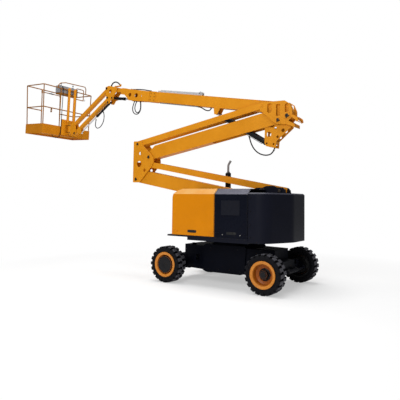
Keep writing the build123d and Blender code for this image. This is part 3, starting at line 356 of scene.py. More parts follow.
# The cover black's bluish film paints the sky's sheen on the covers' tops and bevels, besides dust.
COVER_BLACK = paint(
    "cover black", (0.0046, 0.0056, 0.0115), (0.0036, 0.0044, 0.009), (0.15, 0.15, 0.2),
    0.28, 0.02, 0.8, 0.05)
WEIGHT_BLACK = paint(
    "ballast black", (0.0062, 0.007, 0.014), (0.0048, 0.0056, 0.0115), (0.13, 0.13, 0.17),
    0.36, 0.03, 0.5, 0.08)
CHASSIS_BLACK = paint(
    "chassis black", (0.0026, 0.0032, 0.0075), (0.0018, 0.0023, 0.0055), (0.08, 0.08, 0.1),
    0.48, 0.0, 0.14, 0.05)
BARREL_BLACK = paint(
    "cylinder black", (0.0075, 0.0075, 0.009), (0.005, 0.005, 0.0062), (0.16, 0.15, 0.14),
    0.34, 0.05, 0.1, 0.14)
GREY = paint(
    "grey steel", (0.3, 0.3, 0.305), (0.24, 0.24, 0.245), (0.42, 0.38, 0.32), 0.48, 0.05)
IRON = paint(
    "cast iron", (0.02, 0.02, 0.022), (0.012, 0.012, 0.014), (0.18, 0.16, 0.13),
    0.6, 0.0, 0.2, 0.12)

# %% [markdown]
# ## Tyres, chrome, rubber and plastic
# A solid tyre is black rubber, worn pale grey where its lugs meet the ground.
# The wear follows the distance from the wheel's axis, which is the same for
# all four wheels once x is folded over the middle of the machine. A chromed
# rod is close to a mirror. Hoses are matt black rubber.

# %% Tyres and rims
AXLE_X, _, AXLE_Z = np.abs(JOINTS["drive_wheel_near_spin"]["pos_m"]).tolist()
FLANGE_R, TREAD_R, LUG_R = 0.226, 0.384, 0.42  # radii of the rim's flange, the tread and its lugs
RIM_Y = 0.967  # the rims' outer faces


def wheel_place(nodes):
    """Gives root((|x| - axle)^2 + (z - height)^2), the distance from the wheel's axis, and |y|."""
    place = nodes.parts(nodes.place)
    x = nodes.math("SUBTRACT", nodes.math("ABSOLUTE", place["X"]), AXLE_X)
    z = nodes.math("SUBTRACT", place["Z"], AXLE_Z)
    squares = [nodes.math("MULTIPLY", length, length) for length in (x, z)]
    return nodes.math("SQRT", nodes.math("ADD", *squares)), nodes.math("ABSOLUTE", place["Y"])


def tyre_tones(nodes):
    """Rubber that pales from the tread to the lugs' tops."""
    worn = nodes.between(wheel_place(nodes)[0], TREAD_R + 0.02, LUG_R - 0.004)
    spots = nodes.between(nodes.noise(26.0, 5.0, 0.7), 0.3, 0.7, 0.35, 0.95)
    dusty = nodes.between(nodes.noise(9.0, 5.0, 0.65), 0.45, 0.75, 0.0, 0.35)
    base = nodes.blend(dusty, (0.003, 0.0029, 0.0048), (0.009, 0.0088, 0.0105))
    return nodes.blend(nodes.math("MULTIPLY", worn, spots), base, (0.115, 0.113, 0.13))


def rim_tones_and_shade(nodes):
    """Orange with painted light: a paler tone as a painted highlight on the flange, a darker one as painted
    shade deep in the dish, and black as painted shade on the side that faces inwards.
    """
    far, across = wheel_place(nodes)
    cloud = nodes.between(nodes.noise(17.0, 5.0, 0.65), 0.35, 0.7)
    # painted light: a darker tone for the shade deep in the dish, a paler one for the light on the flange
    shaded_dish = nodes.blend(cloud, (0.4, 0.105, 0.006), (0.3, 0.07, 0.004))
    lit_flange = nodes.blend(cloud, (0.62, 0.235, 0.03), (0.5, 0.165, 0.016))
    face = nodes.blend(nodes.between(far, FLANGE_R - 0.02, FLANGE_R + 0.01), shaded_dish, lit_flange)
    # the side that faces inwards is painted black for its shade
    return nodes.blend(nodes.between(across, RIM_Y - 0.012, RIM_Y - 0.004), (0.005, 0.005, 0.006), face)


TYRE = finish("tyre rubber", tyre_tones, lambda nodes: 0.75, 0.15, (160.0, 4.0, 0.7), 0.35, 0.0012)
RIM_ORANGE = finish(
    "rim orange", rim_tones_and_shade,
    lambda nodes: nodes.between(nodes.noise(30.0, 4.0), 0.3, 0.7, 0.36, 0.5),
    0.25, (380.0, 2.0), 0.12, 0.0006)
print("wheel finishes ready")

# %% Chrome, rubber and plastics
def plain(name, colour, other, rough, grain, metal=0.0, strength=0.12, depth=0.0004, shine=0.25):
    """A simple finish: two close tones in soft patches and a fine bump."""
    return finish(
        name,
        lambda nodes: nodes.blend(nodes.between(nodes.noise(11.0, 5.0, 0.6), 0.35, 0.7), colour, other),
        lambda nodes: nodes.between(nodes.noise(37.0, 3.0), 0.3, 0.7, rough - 0.04, rough + 0.06),
        shine, (grain, 2.0), strength, depth, {"Metallic": metal})


CHROME = plain("chromed rod", (0.72, 0.73, 0.75), (0.6, 0.61, 0.63), 0.14, 900.0, 1.0, 0.05, 0.0002)
ZINC = plain("zinc fastener", (0.42, 0.41, 0.38), (0.3, 0.29, 0.27), 0.38, 700.0, 0.9)
HOSE = plain("hose rubber", (0.0065, 0.0065, 0.008), (0.011, 0.0105, 0.011), 0.55, 900.0, shine=0.15)
PLASTIC = plain("grey plastic", (0.3, 0.31, 0.33), (0.25, 0.26, 0.28), 0.5, 500.0)
PALE = plain("pale carrier plastic", (0.52, 0.53, 0.55), (0.42, 0.43, 0.45), 0.45, 300.0)
BLACK_PLASTIC = plain("black plastic", (0.01, 0.01, 0.011), (0.014, 0.014, 0.015), 0.42, 500.0)
RED = plain("red plastic", (0.45, 0.012, 0.01), (0.38, 0.01, 0.008), 0.35, 400.0)
PIN = plain("oiled pin", (0.04, 0.03, 0.022), (0.02, 0.016, 0.013), 0.42, 600.0, 0.4)
PLATE = plain("bare black plate", (0.007, 0.0078, 0.0135), (0.0055, 0.0062, 0.011), 0.4, 200.0,
              shine=0.12)

# %% [markdown]
# ## Paint the CAD pieces
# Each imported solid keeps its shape. Only its material changes, chosen by the
# slot that the record gives it. Four nodes have a finish of their own.

# %% Assign the finishes
FINISH_OF_SLOT = {
    "boom_yellow": YELLOW, "hood_yellow": COVER_YELLOW, "hood_black": COVER_BLACK, "cover_black": WEIGHT_BLACK,
    "chassis_black": CHASSIS_BLACK, "rim_orange": RIM_ORANGE, "barrel_black": BARREL_BLACK, "grey_steel": GREY,
    "iron": IRON, "tyre": TYRE, "chrome": CHROME, "hose": HOSE, "panel_grey": PLASTIC}
FINISH_OF_NODE = {
    "cable_carrier": PALE, "platform_rails": SHADED_RAIL_YELLOW, "platform_gate": SHADED_RAIL_YELLOW,
    "platform_floor": SHADED_DECK_YELLOW}
for row in frame["record"]["subparts"]:
    material = FINISH_OF_NODE.get(row["node"], FINISH_OF_SLOT[row["material_slot"]])
    for slot in frame["nodes"][row["node"]].material_slots:
        slot.material = material
print("painted", len(frame["nodes"]), "solids")

# %% [markdown]
# ## Hoses
# A hydraulic hose is stiff, so it leaves its fitting straight and swings in
# one smooth loop to the next. Each is a NURBS curve through the air with a
# round bevel, and stands for the plain tube of the CAD model.

# %% Hose routes
def upright_plane(y, points):
    """Puts (x, z) points in the plane at y."""
    return [(x, y, z) for x, z in points]


HOSES = {  # the CAD node that it replaces: diameter, body, control points
    "boom_hose": (0.028, "boom", upright_plane(-0.048, [
        (-1.0862, 4.2925), (-0.985, 4.268), (-0.8727, 4.1867),
        (-0.7572, 4.1514), (-0.6978, 4.1874), (-0.682, 4.2293)])),
    "head_hose_a": (0.026, "fly", upright_plane(-0.058, [
        (-3.208, 4.6751), (-3.2662, 4.5729), (-3.2972, 4.4362), (-3.243, 4.3145),
        (-3.1134, 4.2727), (-3.015, 4.3392), (-2.9761, 4.4693), (-2.9965, 4.6367)])),
    "head_hose_b": (0.026, "fly", upright_plane(-0.022, [
        (-3.1637, 4.667), (-3.2212, 4.5748), (-3.2446, 4.4571), (-3.1958, 4.3507),
        (-3.1136, 4.3276), (-3.0414, 4.3897), (-3.0199, 4.5078), (-3.0408, 4.6447)])),
    "head_cable": (0.028, "fly", upright_plane(-0.04, [
        (-2.6368, 4.8823), (-2.7629, 4.9154), (-2.9183, 4.9548),
        (-3.0958, 4.985), (-3.2557, 4.9999), (-3.3745, 5.0174)])),
    "knuckle_hose": (0.036, "jib_knuckle", upright_plane(-0.052, [
        (-4.1354, 5.183), (-4.1284, 5.234), (-4.0814, 5.283), (-4.0064, 5.309),
        (-3.9214, 5.296), (-3.8444, 5.249), (-3.7794, 5.19)])),
    "lift_hose": (0.03, "lift_cylinder_barrel", upright_plane(0.0, [
        (0.356, 3.4479), (0.382, 3.3389), (0.44, 3.2009), (0.538, 3.0759),
        (0.68, 2.9929), (0.84, 2.9729), (0.95, 3.0129), (1, 3.1039)])),
    "jib_hose": (0.024, "jib_cylinder_barrel", upright_plane(0.0, [
        (-4.4895, 4.4894), (-4.4534, 4.4101), (-4.4561, 4.2664), (-4.5105, 4.1316), (-4.622, 4.0284),
        (-4.7445, 4.0139), (-4.8125, 4.0888), (-4.805, 4.1948), (-4.7815, 4.2946)])),
    "platform_cable": (0.02, "platform", [
        (-6.0541, -0.242, 5.3797), (-6.023, -0.243, 5.3804), (-5.9943, -0.245, 5.3491),
        (-5.9803, -0.252, 5.2545), (-5.98, -0.264, 5.1644), (-5.9866, -0.27, 5.0546),
        (-5.998, -0.265, 4.8549), (-6.0094, -0.27, 4.6552), (-6.0207, -0.265, 4.4555),
        (-6.0321, -0.27, 4.2558), (-6.0435, -0.265, 4.0561), (-6.0496, -0.276, 3.8862),
        (-6.0636, -0.325, 3.7907), (-6.0849, -0.43, 3.7615), (-6.1049, -0.535, 3.8084),
        (-6.1067, -0.562, 3.9086)]),
}
print("hose routes:", len(HOSES))

# %% Hoses
def hose(name, diameter, body, points):
    """A curve of order 3 through its control points; its length is read off a copy with no bevel."""
    data = bpy.data.curves.new(name, "CURVE")
    data.dimensions = "3D"
    spline = data.splines.new("NURBS")
    spline.points.add(len(points) - 1)
    spline.points.foreach_set("co", np.column_stack([np.asarray(points), np.ones(len(points))]).ravel())
    spline.order_u = 3
    spline.use_endpoint_u = True
    spline.resolution_u = 8
    obj = put(name + "_line", data)
    bare = bpy.data.meshes.new_from_object(obj)
    line = np.empty(len(bare.vertices) * 3)
    bare.vertices.foreach_get("co", line)
    length = float(np.linalg.norm(np.diff(line.reshape(-1, 3), axis=0), axis=1).sum())
    data.bevel_depth = diameter / 2
    data.bevel_resolution = 4
    data.use_fill_caps = True
    data.materials.append(HOSE)
    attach(obj, body)
    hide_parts(name)
    return length


for name, (diameter, body, points) in HOSES.items():
    print(name, round(hose(name, diameter, body, points), 3), "m")

# %% [markdown]
# ## Hose fittings
# Each hose end is crimped into a steel ferrule with a hexagon behind it.
# The ferrule lies along the hose's last run.

# %% Ferrules
SLEEVE = np.array([  # part of the hose's radius, and metres along it
    (0.9, 0.0), (1.25, 0.002), (1.25, 0.012), (1.17, 0.014), (1.25, 0.016), (1.25, 0.034), (1.12, 0.04),
    (1.02, 0.042)])
NUT = np.array([(1.2, 0.0), (1.45, 0.002), (1.45, 0.011), (1.2, 0.013)])


def ferrule(end, towards, diameter):
    """A crimped sleeve and a hexagon on a hose's end, along its last run."""
    end, run = np.asarray(end), np.asarray(towards) - np.asarray(end)
    run /= np.linalg.norm(run)
    scale = (diameter / 2, 1.0)
    return [turned(SLEEVE * scale, end, run, 20), turned(NUT * scale, end, run, 6)]


for name, (diameter, body, points) in HOSES.items():
    ends = ferrule(points[0], points[1], diameter) + ferrule(points[-1], points[-2], diameter)
    piece(name + "_fittings", ends, PIN, body)
print("fittings on", len(HOSES), "hoses")

# %% [markdown]
# ## Pins, keepers and bolts
# Every hinge of the arms is a steel pin through bosses. On the outside its
# end shows as a dark oiled disc with a grease nipple, and a small keeper
# plate with two bolts stops it from turning out.

# %% Bolts, nipples and pin ends
def bolt(at, direction, size=0.016):
    """A hexagon head of a width across its corners, on a washer, with a domed top."""
    r = size / 2
    washer = turned([(r * 1.25, 0.0), (r * 1.25, 0.0022), (r * 1.0, 0.0022)], at, direction, 20)
    crown = [(r, 0.002), (r, size * 0.55), (r * 0.86, size * 0.64), (r * 0.3, size * 0.66)]
    return [washer, turned(crown, at, direction, 6)]


def bolts(places, direction, size=0.016):
    """The same bolt at each place, as one list of parts."""
    return [part for at in places for part in bolt(at, direction, size)]


def flank_bolts(rows, y, size):
    """Bolts at (x, z) rows on the two faces at -y and y, all pointing outwards."""
    near, far = (bolts([(x, side * y, z) for x, z in rows], (0, side, 0), size) for side in (-1, 1))
    return near + far


def circle_of(at, direction, radius, count, start=0.0):
    """Points at equal angles on a circle round an axis."""
    u, v, _ = axes(direction)
    return np.asarray(at, float) + radius * spokes(u, v, count, start)


def nipple(at, direction):
    """A grease nipple: a round body, a neck and a ball."""
    profile = [(0.006, 0.0), (0.006, 0.011), (0.0035, 0.013), (0.0045, 0.017), (0.002, 0.019)]
    return turned(profile, at, direction, 12)


def pin_end(x, z, y, radius, lean):
    """A pin's end on the side that y points to: disc, nipple, keeper plate on its lower half, two bolts."""
    side = math.copysign(1.0, y)
    out = (0.0, side, 0.0)
    rim = [(radius, 0.0), (radius, 0.005), (radius - 0.003, 0.007), (radius * 0.3, 0.007),
           (radius * 0.25, 0.005)]
    parts = [turned(rim, (x, y, z), out, 40), nipple((x, y, z), out)]
    c, s = math.cos(lean), math.sin(lean)
    half, deep, drop = radius * 1.15, 0.011, -radius * 0.9
    corners = np.array([(-half, -deep), (half, -deep), (half, deep), (-half, deep)]) + (0.0, drop)
    u, v = corners.T
    keeper = np.column_stack([u * c - v * s + x, u * s + v * c + z])
    parts.append(plate(keeper, y + side * 0.002, y + side * 0.008))
    for offset in (-0.82, 0.82):
        along = offset * half
        parts += bolt((x + along * c - drop * s, y + side * 0.008, z + along * s + drop * c), out, 0.014)
    return parts


# %% Pins of the arms and the jib
PINS = [  # piece, body, joint whose axis it is, y of the outer face, radius, lean of the keeper
    ("tower_pin", "turntable", "riser_lift", 0.2005, 0.036, 0.0),
    ("tower_link_pin", "turntable", "lower_link_turn", 0.1905, 0.03, 0.4),
    ("knee_pin", "mid_knuckle", "mid_knuckle_turn", 0.1675, 0.034, 0.3),
    ("upper_arm_pin", "mid_knuckle", "upper_arm_turn", 0.1675, 0.034, -0.3),
    ("tie_pin", "mid_knuckle", "upper_link_turn", 0.1675, 0.028, 0.2),
    ("top_pin", "top_knuckle", "top_knuckle_turn", 0.1675, 0.034, 0.3),
    ("boom_pin", "top_knuckle", "boom_lift", 0.1695, 0.042, 0.5),
    ("jib_low_pin", "jib_knuckle", "jib_lift", 0.1172, 0.026, 0.8),
    ("jib_top_pin", "jib_knuckle", "jib_upper_turn", 0.1172, 0.026, 0.8),
    ("jib_cylinder_pin", "jib_knuckle", "jib_cylinder_barrel_turn", 0.1152, 0.024, 0.8),
    ("level_cylinder_pin", "jib_knuckle", "level_cylinder_barrel_turn", 0.1152, 0.022, 0.2),
    ("bracket_pin", "bracket", "platform_level_turn", 0.0822, 0.026, 0.0),
]
for name, body, joint, y, radius, lean in PINS:
    x, _, z = JOINTS[joint]["pos_m"]
    parts = [part for side in (-1, 1) for part in pin_end(x, z, side * y, radius, lean)]
    piece(name, parts, PIN, body)
print("pins:", len(PINS))

# %% [markdown]
# ## Members and their weld seams
# The arms are boxes of four plates, and each corner shows a painted weld
# bead. A *member* is a small function that places points along an arm, above
# it and across it, so the seams and the trim follow the arm's own slope. Its
# two ends come from the joints at the ends of the arm.

# %% Member lines
def pin(joint):
    """Where a joint's axis crosses the middle plane y = 0."""
    return np.asarray(JOINTS[joint]["pos_m"], float) * (1.0, 0.0, 1.0)


LOWER = member(pin("riser_lift"), pin("mid_knuckle_turn"))
UPPER = member(pin("upper_arm_turn"), pin("top_knuckle_turn"))
BOOM = member(pin("boom_lift"), pin("boom_lift") + np.asarray(JOINTS["boom_telescope"]["axis"], float))
JIB = member(pin("jib_lift"), pin("platform_level_turn"))
JIB_TOP = member(pin("jib_upper_turn"), pin("jib_upper_turn") + pin("platform_level_turn") - pin("jib_lift"))

# %% Weld beads along the arms
WELDS = [  # body, piece, member, half width, half thickness of a bead, and from, to and height of each pair
    ("lower_arm", "lower_arm_welds", LOWER, 0.1085, 0.0045, [(0.92, 3.52, 0.261), (0.46, 3.7, -0.079)]),
    ("upper_arm", "upper_arm_welds", UPPER, 0.1085, 0.0045, [(0.36, 3.48, 0.261), (0.1, 3.7, -0.079)]),
    ("boom", "boom_welds", BOOM, 0.0895, 0.0045, [(0.32, 3.9, 0.2945), (0.52, 3.9, 0.0305)]),
    ("jib_lower", "jib_lower_welds", JIB, 0.0495, 0.003, [(0.08, 1.61, -0.0415), (0.08, 1.61, 0.0415)]),
    ("jib_upper", "jib_upper_welds", JIB_TOP, 0.0495, 0.003, [(0.08, 1.61, -0.0475), (0.08, 1.61, 0.0475)])]
for body, name, line, half, leg, pairs in WELDS:
    beads = [seam(line(u0, v, y), line(u1, v, y), leg) for u0, u1, v in pairs for y in (-half, half)]
    piece(name, beads, YELLOW, body, 60)
print("members with weld beads:", len(WELDS))

# %% [markdown]
# ## The boom's front end
# The inner tube slides in the outer one on plastic wear pads. A collar at the
# outer tube's mouth holds them, and two rows of bolts through its sides set
# how tight they run. A strip of black pad shows all round the mouth.

# %% Collar bolts and wear pads
FRONT, COLLAR = 4.11, 0.205  # the mouth's place along the boom, and the collar's length
collar_bolts, pads = [], []
for side in (-1, 1):
    rows = [(u, v) for u in (FRONT - COLLAR + 0.04, FRONT - 0.04) for v in (0.075, 0.163, 0.25)]
    collar_bolts += bolts([BOOM(u, v, side * 0.1005) for u, v in rows], (0, side, 0))
    for v0, v1 in ((0.06, 0.12), (0.205, 0.265)):
        pads.append(slab((FRONT - 0.1, side * 0.0745, v0), (FRONT + 0.008, side * 0.0815, v1), 0.002))
for v0, v1 in ((0.0385, 0.0475), (0.2775, 0.2865)):
    pads.append(slab((FRONT - 0.1, -0.06, v0), (FRONT + 0.008, 0.06, v1), 0.002))
piece("collar_bolts", collar_bolts, PIN, "boom")
piece("wear_pads", [laid(BOOM, pad) for pad in pads], BLACK_PLASTIC, "boom")
print("collar bolts:", len(collar_bolts) // 2, "pads:", len(pads))

# %% [markdown]
# ## The cable carrier
# The hoses to the platform lie in a plastic chain on top of the boom. On the
# machine it unrolls as the boom grows; here it is one fixed piece on the boom.
# Each link is two side plates with rounded ends and a crossbar, one link laps
# the next, and the whole chain lies in a pale tray of folded sheet.

# %% Chain links
PITCH, NEAR_Y, FAR_Y = 0.054, -0.07, 0.022
LINKS, CURL_LINKS = 24, 4  # on the straight run, and round the curl at its end


def link(u, v, slope):
    """A chain link that starts at u, v of the boom: two side plates, a crossbar, and a disc at the lap."""
    line = member(BOOM(u, v), BOOM(u + math.cos(slope), v + math.sin(slope)))
    t = np.linspace(-np.pi / 2, np.pi / 2, 7)
    rounds = np.column_stack([PITCH * 0.8 + 0.018 * np.cos(t), 0.019 * np.sin(t)])
    outline = np.vstack([[(0.004, -0.019)], rounds, [(0.004, 0.019)]])
    parts = [laid(line, plate(outline, y, y + 0.007)) for y in (NEAR_Y, FAR_Y - 0.007)]
    parts.append(laid(line, slab((0.012, NEAR_Y + 0.006, 0.012), (0.03, FAR_Y - 0.006, 0.0185), 0.002)))
    for y, out in ((NEAR_Y, -1), (FAR_Y, 1)):
        disc = [(0.009, -0.001), (0.009, 0.0015), (0.004, 0.002)]
        parts.append(turned(disc, line(PITCH * 0.8, 0.0, y), (0, out, 0), 12))
    return parts


chain = [part for k in range(LINKS) for part in link(2.48 + k * PITCH, 0.352 - 0.0004 * k, 0.0)]
for k in range(CURL_LINKS):
    angle = -math.pi / 2 + k * math.pi / 3.4
    chain += link(2.478 - 0.03 * math.cos(angle), 0.336 - 0.026 * math.sin(angle), math.pi / 2 + angle)
chain_piece = piece("carrier_chain", chain, PALE, "boom")
print("chain links:", LINKS + CURL_LINKS)

# %% Tray, end bracket and lines
TRAY_END = 3.866  # along the boom
tray = [laid(BOOM, slab((2.43, NEAR_Y - 0.0015, 0.2955), (TRAY_END, FAR_Y + 0.0015, 0.299), 0.001))]
for y in (NEAR_Y - 0.0018, FAR_Y + 0.0002):
    tray.append(laid(BOOM, slab((2.47, y, 0.296), (TRAY_END, y + 0.0016, 0.328), 0.0005)))
for u in np.linspace(2.52, 3.82, 6):
    for y, side in ((NEAR_Y - 0.0016, -1), (FAR_Y + 0.0016, 1)):
        tray += bolt(BOOM(u, 0.312, y), (0, side, 0), 0.01)
piece("carrier_tray", tray, PALE, "boom")
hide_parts("cable_carrier")
bracket = [laid(BOOM, slab((u, NEAR_Y + 0.008, v), (TRAY_END, FAR_Y - 0.008, 0.3385), 0.002))
           for u, v in ((3.78, 0.33), (3.846, 0.3))]
piece("carrier_bracket", bracket, YELLOW, "boom")
curl = np.linspace(0, np.pi, 14)
loops = [tube([BOOM(2.56 - 0.115 * math.sin(t), 0.334 + 0.026 * math.cos(t), y) for t in curl], 0.008)
         for y in (-0.052, -0.034, -0.014, 0.004)]
piece("carrier_lines", loops, BLACK_PLASTIC, "boom")
print("tray parts:", len(tray), "lines:", len(loops))

# %% [markdown]
# ## Covers
# The side covers are moulded, with a paddle latch low on each and hinges
# along the top. A rear cover also has two zinc bolts near its lower edge, and
# a bare plate on four rivets, where a chart of data would sit.

# %% Latches
COVER_Y = 1.1002  # the covers' outer faces


def latch(x, z, side, width=0.12):
    """A paddle latch: a dished frame, the paddle in it, and a round key lock beside."""
    y = side * COVER_Y
    t = np.linspace(0, 2 * np.pi, 28, endpoint=False)
    box = np.column_stack([np.sign(wave(t)) * np.abs(wave(t)) ** 0.4 for wave in (np.cos, np.sin)])
    rings = []
    for scale, depth in ((1.0, 0.0), (1.0, 0.004), (0.93, 0.007), (0.82, 0.007), (0.8, 0.002), (0.4, 0.001)):
        across, up = x + box[:, 0] * width * scale, z + box[:, 1] * 0.03 * scale
        rings.append(np.column_stack([across, np.full(len(t), y + side * depth), up]))
    paddle = slab((x - width * 0.72, y, z - 0.018), (x + width * 0.3, y + side * 0.006, z + 0.018), 0.003)
    lock = [(0.014, 0.0), (0.014, 0.005), (0.01, 0.007), (0.003, 0.007)]
    return [loft(rings), paddle, turned(lock, (x + width * 0.55, y, z), (0, side, 0), 20)]


# %% Latches, hinges and edges of the covers
COVERS = [  # body, latch x, hinge x from and to, hinge y, side
    ("hood_front_near", -0.498, -0.83, 0.05, -0.262, -1), ("hood_rear_near", 0.514, 0.31, 0.87, -0.262, -1),
    ("hood_front_far", -0.498, -0.83, 0.05, 0.552, 1), ("hood_rear_far", 0.514, 0.31, 0.87, 0.262, 1)]
for body, x, x0, x1, hinge_y, side in COVERS:
    piece(body + "_latch", latch(x, 1.222, side), BLACK_PLASTIC, body)
    leaves = []
    for hx in np.linspace(x0 + 0.06, x1 - 0.06, 3):
        leaves.append(turned(band(0.011, 0.0125, 0.045, 0.043), (hx, hinge_y, 2.184), (1, 0, 0), 16))
        pair = [(hx + offset, hinge_y + side * 0.03, 2.1802) for offset in (-0.028, 0.028)]
        leaves += bolts(pair, (0, 0, 1), 0.011)
    piece(body + "_hinges", leaves, PIN, body)
    edge = [(hinge_y + side * 0.02, 2.1805), (side * 0.952, 2.1805), (side * 1.0985, 2.059),
            (side * 1.1004, 2.055), (side * 1.1004, 1.14)]
    box_low, box_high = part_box(body)
    ends = [box_low[0] + 0.0105, box_high[0] - 0.0105]
    if body.startswith("hood_front"):
        ends = [end for end in ends if end >= -1.0]
    grooves = [tube([(end, y, z) for y, z in edge], 0.0022, 8) for end in ends]
    piece(body + "_edge", grooves, BLACK_PLASTIC, body)
print("covers dressed:", len(COVERS))

# %% Bare plates and lower bolts
for side, body in ((-1, "hood_rear_near"), (1, "hood_rear_far")):
    face = side * 1.1052
    chart = [slab((0.262, face, 1.609), (0.715, face + side * 0.002, 1.923), 0.0015)]
    for x in (0.275, 0.702):
        for z in (1.622, 1.91):
            rivet = [(0.007, 0.0), (0.006, 0.002), (0.002, 0.003)]
            chart.append(turned(rivet, (x, face + side * 0.002, z), (0, side, 0), 16))
    piece(body + "_plate", chart, PLATE, body)
    for x in (0.3, 0.73):
        piece(f"{body}_rivet_{int(x * 100)}", bolt((x, side * 1.1003, 1.19), (0, side, 0), 0.02), ZINC, body)
print("bare plates: 2")

# %% [markdown]
# ## Turntable trim
# A bolted lip runs under the covers, the counterweight has lifting holes with
# plugs and a bolt row down each flank, and the slew ring shows its teeth.

# %% Lip bolts and ballast bolts
lip = flank_bolts([(x, 1.1075) for x in np.linspace(-1.1, 0.84, 12)], COVER_Y, 0.013)
piece("deck_bolts", lip, PIN, "turntable")
weights = flank_bolts([(0.958, z) for z in (1.16, 1.42, 1.7, 1.98)], COVER_Y, 0.026)
PLUG = [(0.03, 0.0), (0.03, 0.002), (0.022, 0.004), (0.004, 0.004)]
for y in (-0.62, 0.62):
    weights.append(torus((1.26, y, 2.0955), (0, 0, 1), 0.034, 0.006, 32, 8))
    weights.append(turned(PLUG, (1.26, y, 2.095), (0, 0, 1), 24))
piece("ballast_bolts", weights, BARREL_BLACK, "turntable")
print("lip bolts:", len(lip) // 2)

# %% Teeth of the slew ring
TEETH, TIP_R, ROOT_R = 110, 0.4835, 0.472
corner = np.arange(TEETH * 4)  # four corners to a tooth, two on its tip and two in the gap
t = corner * 2 * np.pi / (TEETH * 4)
reach = np.where(np.isin(corner % 4, (0, 1)), TIP_R, ROOT_R)
gear = [np.column_stack([reach * s * np.cos(t), reach * s * np.sin(t), np.full(len(t), z)])
        for s, z in ((0.992, 0.9605), (1.0, 0.964), (1.0, 0.999), (0.992, 1.003))]
piece("slew_teeth", [loft(gear)], IRON, "chassis", 25)
print("teeth:", TEETH)

# %% Exhaust and its shield
MUFFLER_X, MUFFLER_Y, MUFFLER_TOP = -0.45, 0.42, 2.6
MUFFLER = [  # profile, height of its origin, sides
    ([(0.07, 0.0), (0.066, 0.01), (0.04, 0.03), (0.03, 0.034)], MUFFLER_TOP, 40),
    ([(0.0704, -0.37), (0.0704, 0.0)], MUFFLER_TOP, 40),
    ([(0.046, 0.0), (0.046, 0.014), (0.043, 0.016)], 2.215, 32)]
shells = [(band(0.069, 0.0716, 0.006, 0.004), z, 40) for z in np.linspace(2.262, 2.572, 9)] + MUFFLER
muffler = [turned(profile, (MUFFLER_X, MUFFLER_Y, z), (0, 0, 1), count) for profile, z, count in shells]
piece("muffler_shell", muffler, BARREL_BLACK, "turntable")
clamp = [torus((MUFFLER_X, MUFFLER_Y, 2.64), (0, 0, 1), 0.029, 0.004, 28, 8),
         slab((-0.424, 0.41, 2.632), (-0.404, 0.43, 2.648), 0.002)]
clamp += bolt((-0.404, MUFFLER_Y, 2.64), (1, 0, 0), 0.01)
piece("pipe_clamp", clamp, ZINC, "turntable")
print("muffler shells:", len(shells))

# %% [markdown]
# ## Ground controls
# Somebody on the ground works the machine from a small panel on the far side
# of the turntable. It is left bare.

# %% Panel on the deck
panel = slab((0.925, 1.1001, 1.5), (0.952, 1.108, 1.64), 0.002)
piece("ground_panel", [panel], PLASTIC, "turntable")
print("ground panel on the far side")

# %% [markdown]
# ## Wheels
# The driven wheels hide a planetary gearbox behind a flat black cover with a
# ring of bolts. The steered wheels turn on a hub with studs and nuts, deep in
# the dish.

# %% Hub covers and nuts
DRIVE_COVER = [
    (0.1932, 0.026), (0.1932, 0.13), (0.188, 0.1358), (0.064, 0.1372), (0.0592, 0.1368), (0.0588, 0.1336),
    (0.001, 0.1336)]
STEER_HUB = [
    (0.13, 0.0222), (0.124, 0.0262), (0.0892, 0.027), (0.0892, 0.092), (0.085, 0.0962), (0.0636, 0.0968),
    (0.0636, 0.106), (0.06, 0.1112), (0.008, 0.1118)]
WHEEL_NUT = [
    (0.0175, 0.0), (0.0175, 0.012), (0.015, 0.016), (0.009, 0.0165), (0.009, 0.024), (0.0075, 0.0255)]


def drive_cover(face, out):
    """The gearbox cover: its shell, a ring of bolts on the rim, three in the middle, and a seal."""
    return [turned(DRIVE_COVER, face(0.0), out, 56),
            *bolts(circle_of(face(0.136), out, 0.166, 12), out, 0.016),
            *bolts(circle_of(face(0.1336), out, 0.034, 3), out, 0.014),
            torus(face(0.0225), out, 0.195, 0.0035, 56, 8)]


def steer_hub(face, out):
    """The hub and its nine wheel nuts."""
    nuts = circle_of(face(0.0262), out, 0.104, 9, math.pi)
    return [turned(STEER_HUB, face(0.0), out, 56)] + [turned(WHEEL_NUT, at, out, 6) for at in nuts]


# %% Dress the wheels
def wheel_line(joint):
    """Gives f(depth), the point of a wheel's axis that far outside the rim's face, and the side, 1 or -1."""
    x, y, z = JOINTS[joint]["pos_m"]
    side = math.copysign(1.0, y)
    return (lambda depth: np.array([x, side * RIM_Y, z]) + side * np.array([0, depth, 0])), side


WHEELS = [(f"{kind}_{side}", f"{kind}_wheel_{side}", cover)
          for kind, cover in (("drive", drive_cover), ("steer", steer_hub)) for side in ("near", "far")]
for name, body, cover in WHEELS:
    face, side = wheel_line(body + "_spin")
    out = (0, side, 0)
    piece(name + "_hub_cover", cover(face, out), BARREL_BLACK, body)
    rings = [torus(face(0.142), out, 0.28, 0.0042, 72, 8), torus(face(0.134), out, 0.2305, 0.0035, 72, 8)]
    piece(name + "_rim_rings", rings, RIM_ORANGE, body)
    stem = [(0.205, 0.055, 0.03), (0.208, 0.085, 0.032), (0.204, 0.11, 0.031)]
    path = [face(0.0) + np.array([dx, side * dy, dz]) for dx, dy, dz in stem]
    piece(name + "_valve_stem", [tube(path, 0.005, 10)], BLACK_PLASTIC, body)
print("wheels dressed:", len(WHEELS))

# %% [markdown]
# ## Under the frame
# The belly plate is bolted round its edge. Each drive gearbox shows its
# flange bolts, and the steering cylinder its gland rings and two ports. The
# kingpins are capped, and four rings on the frame tie the machine down.

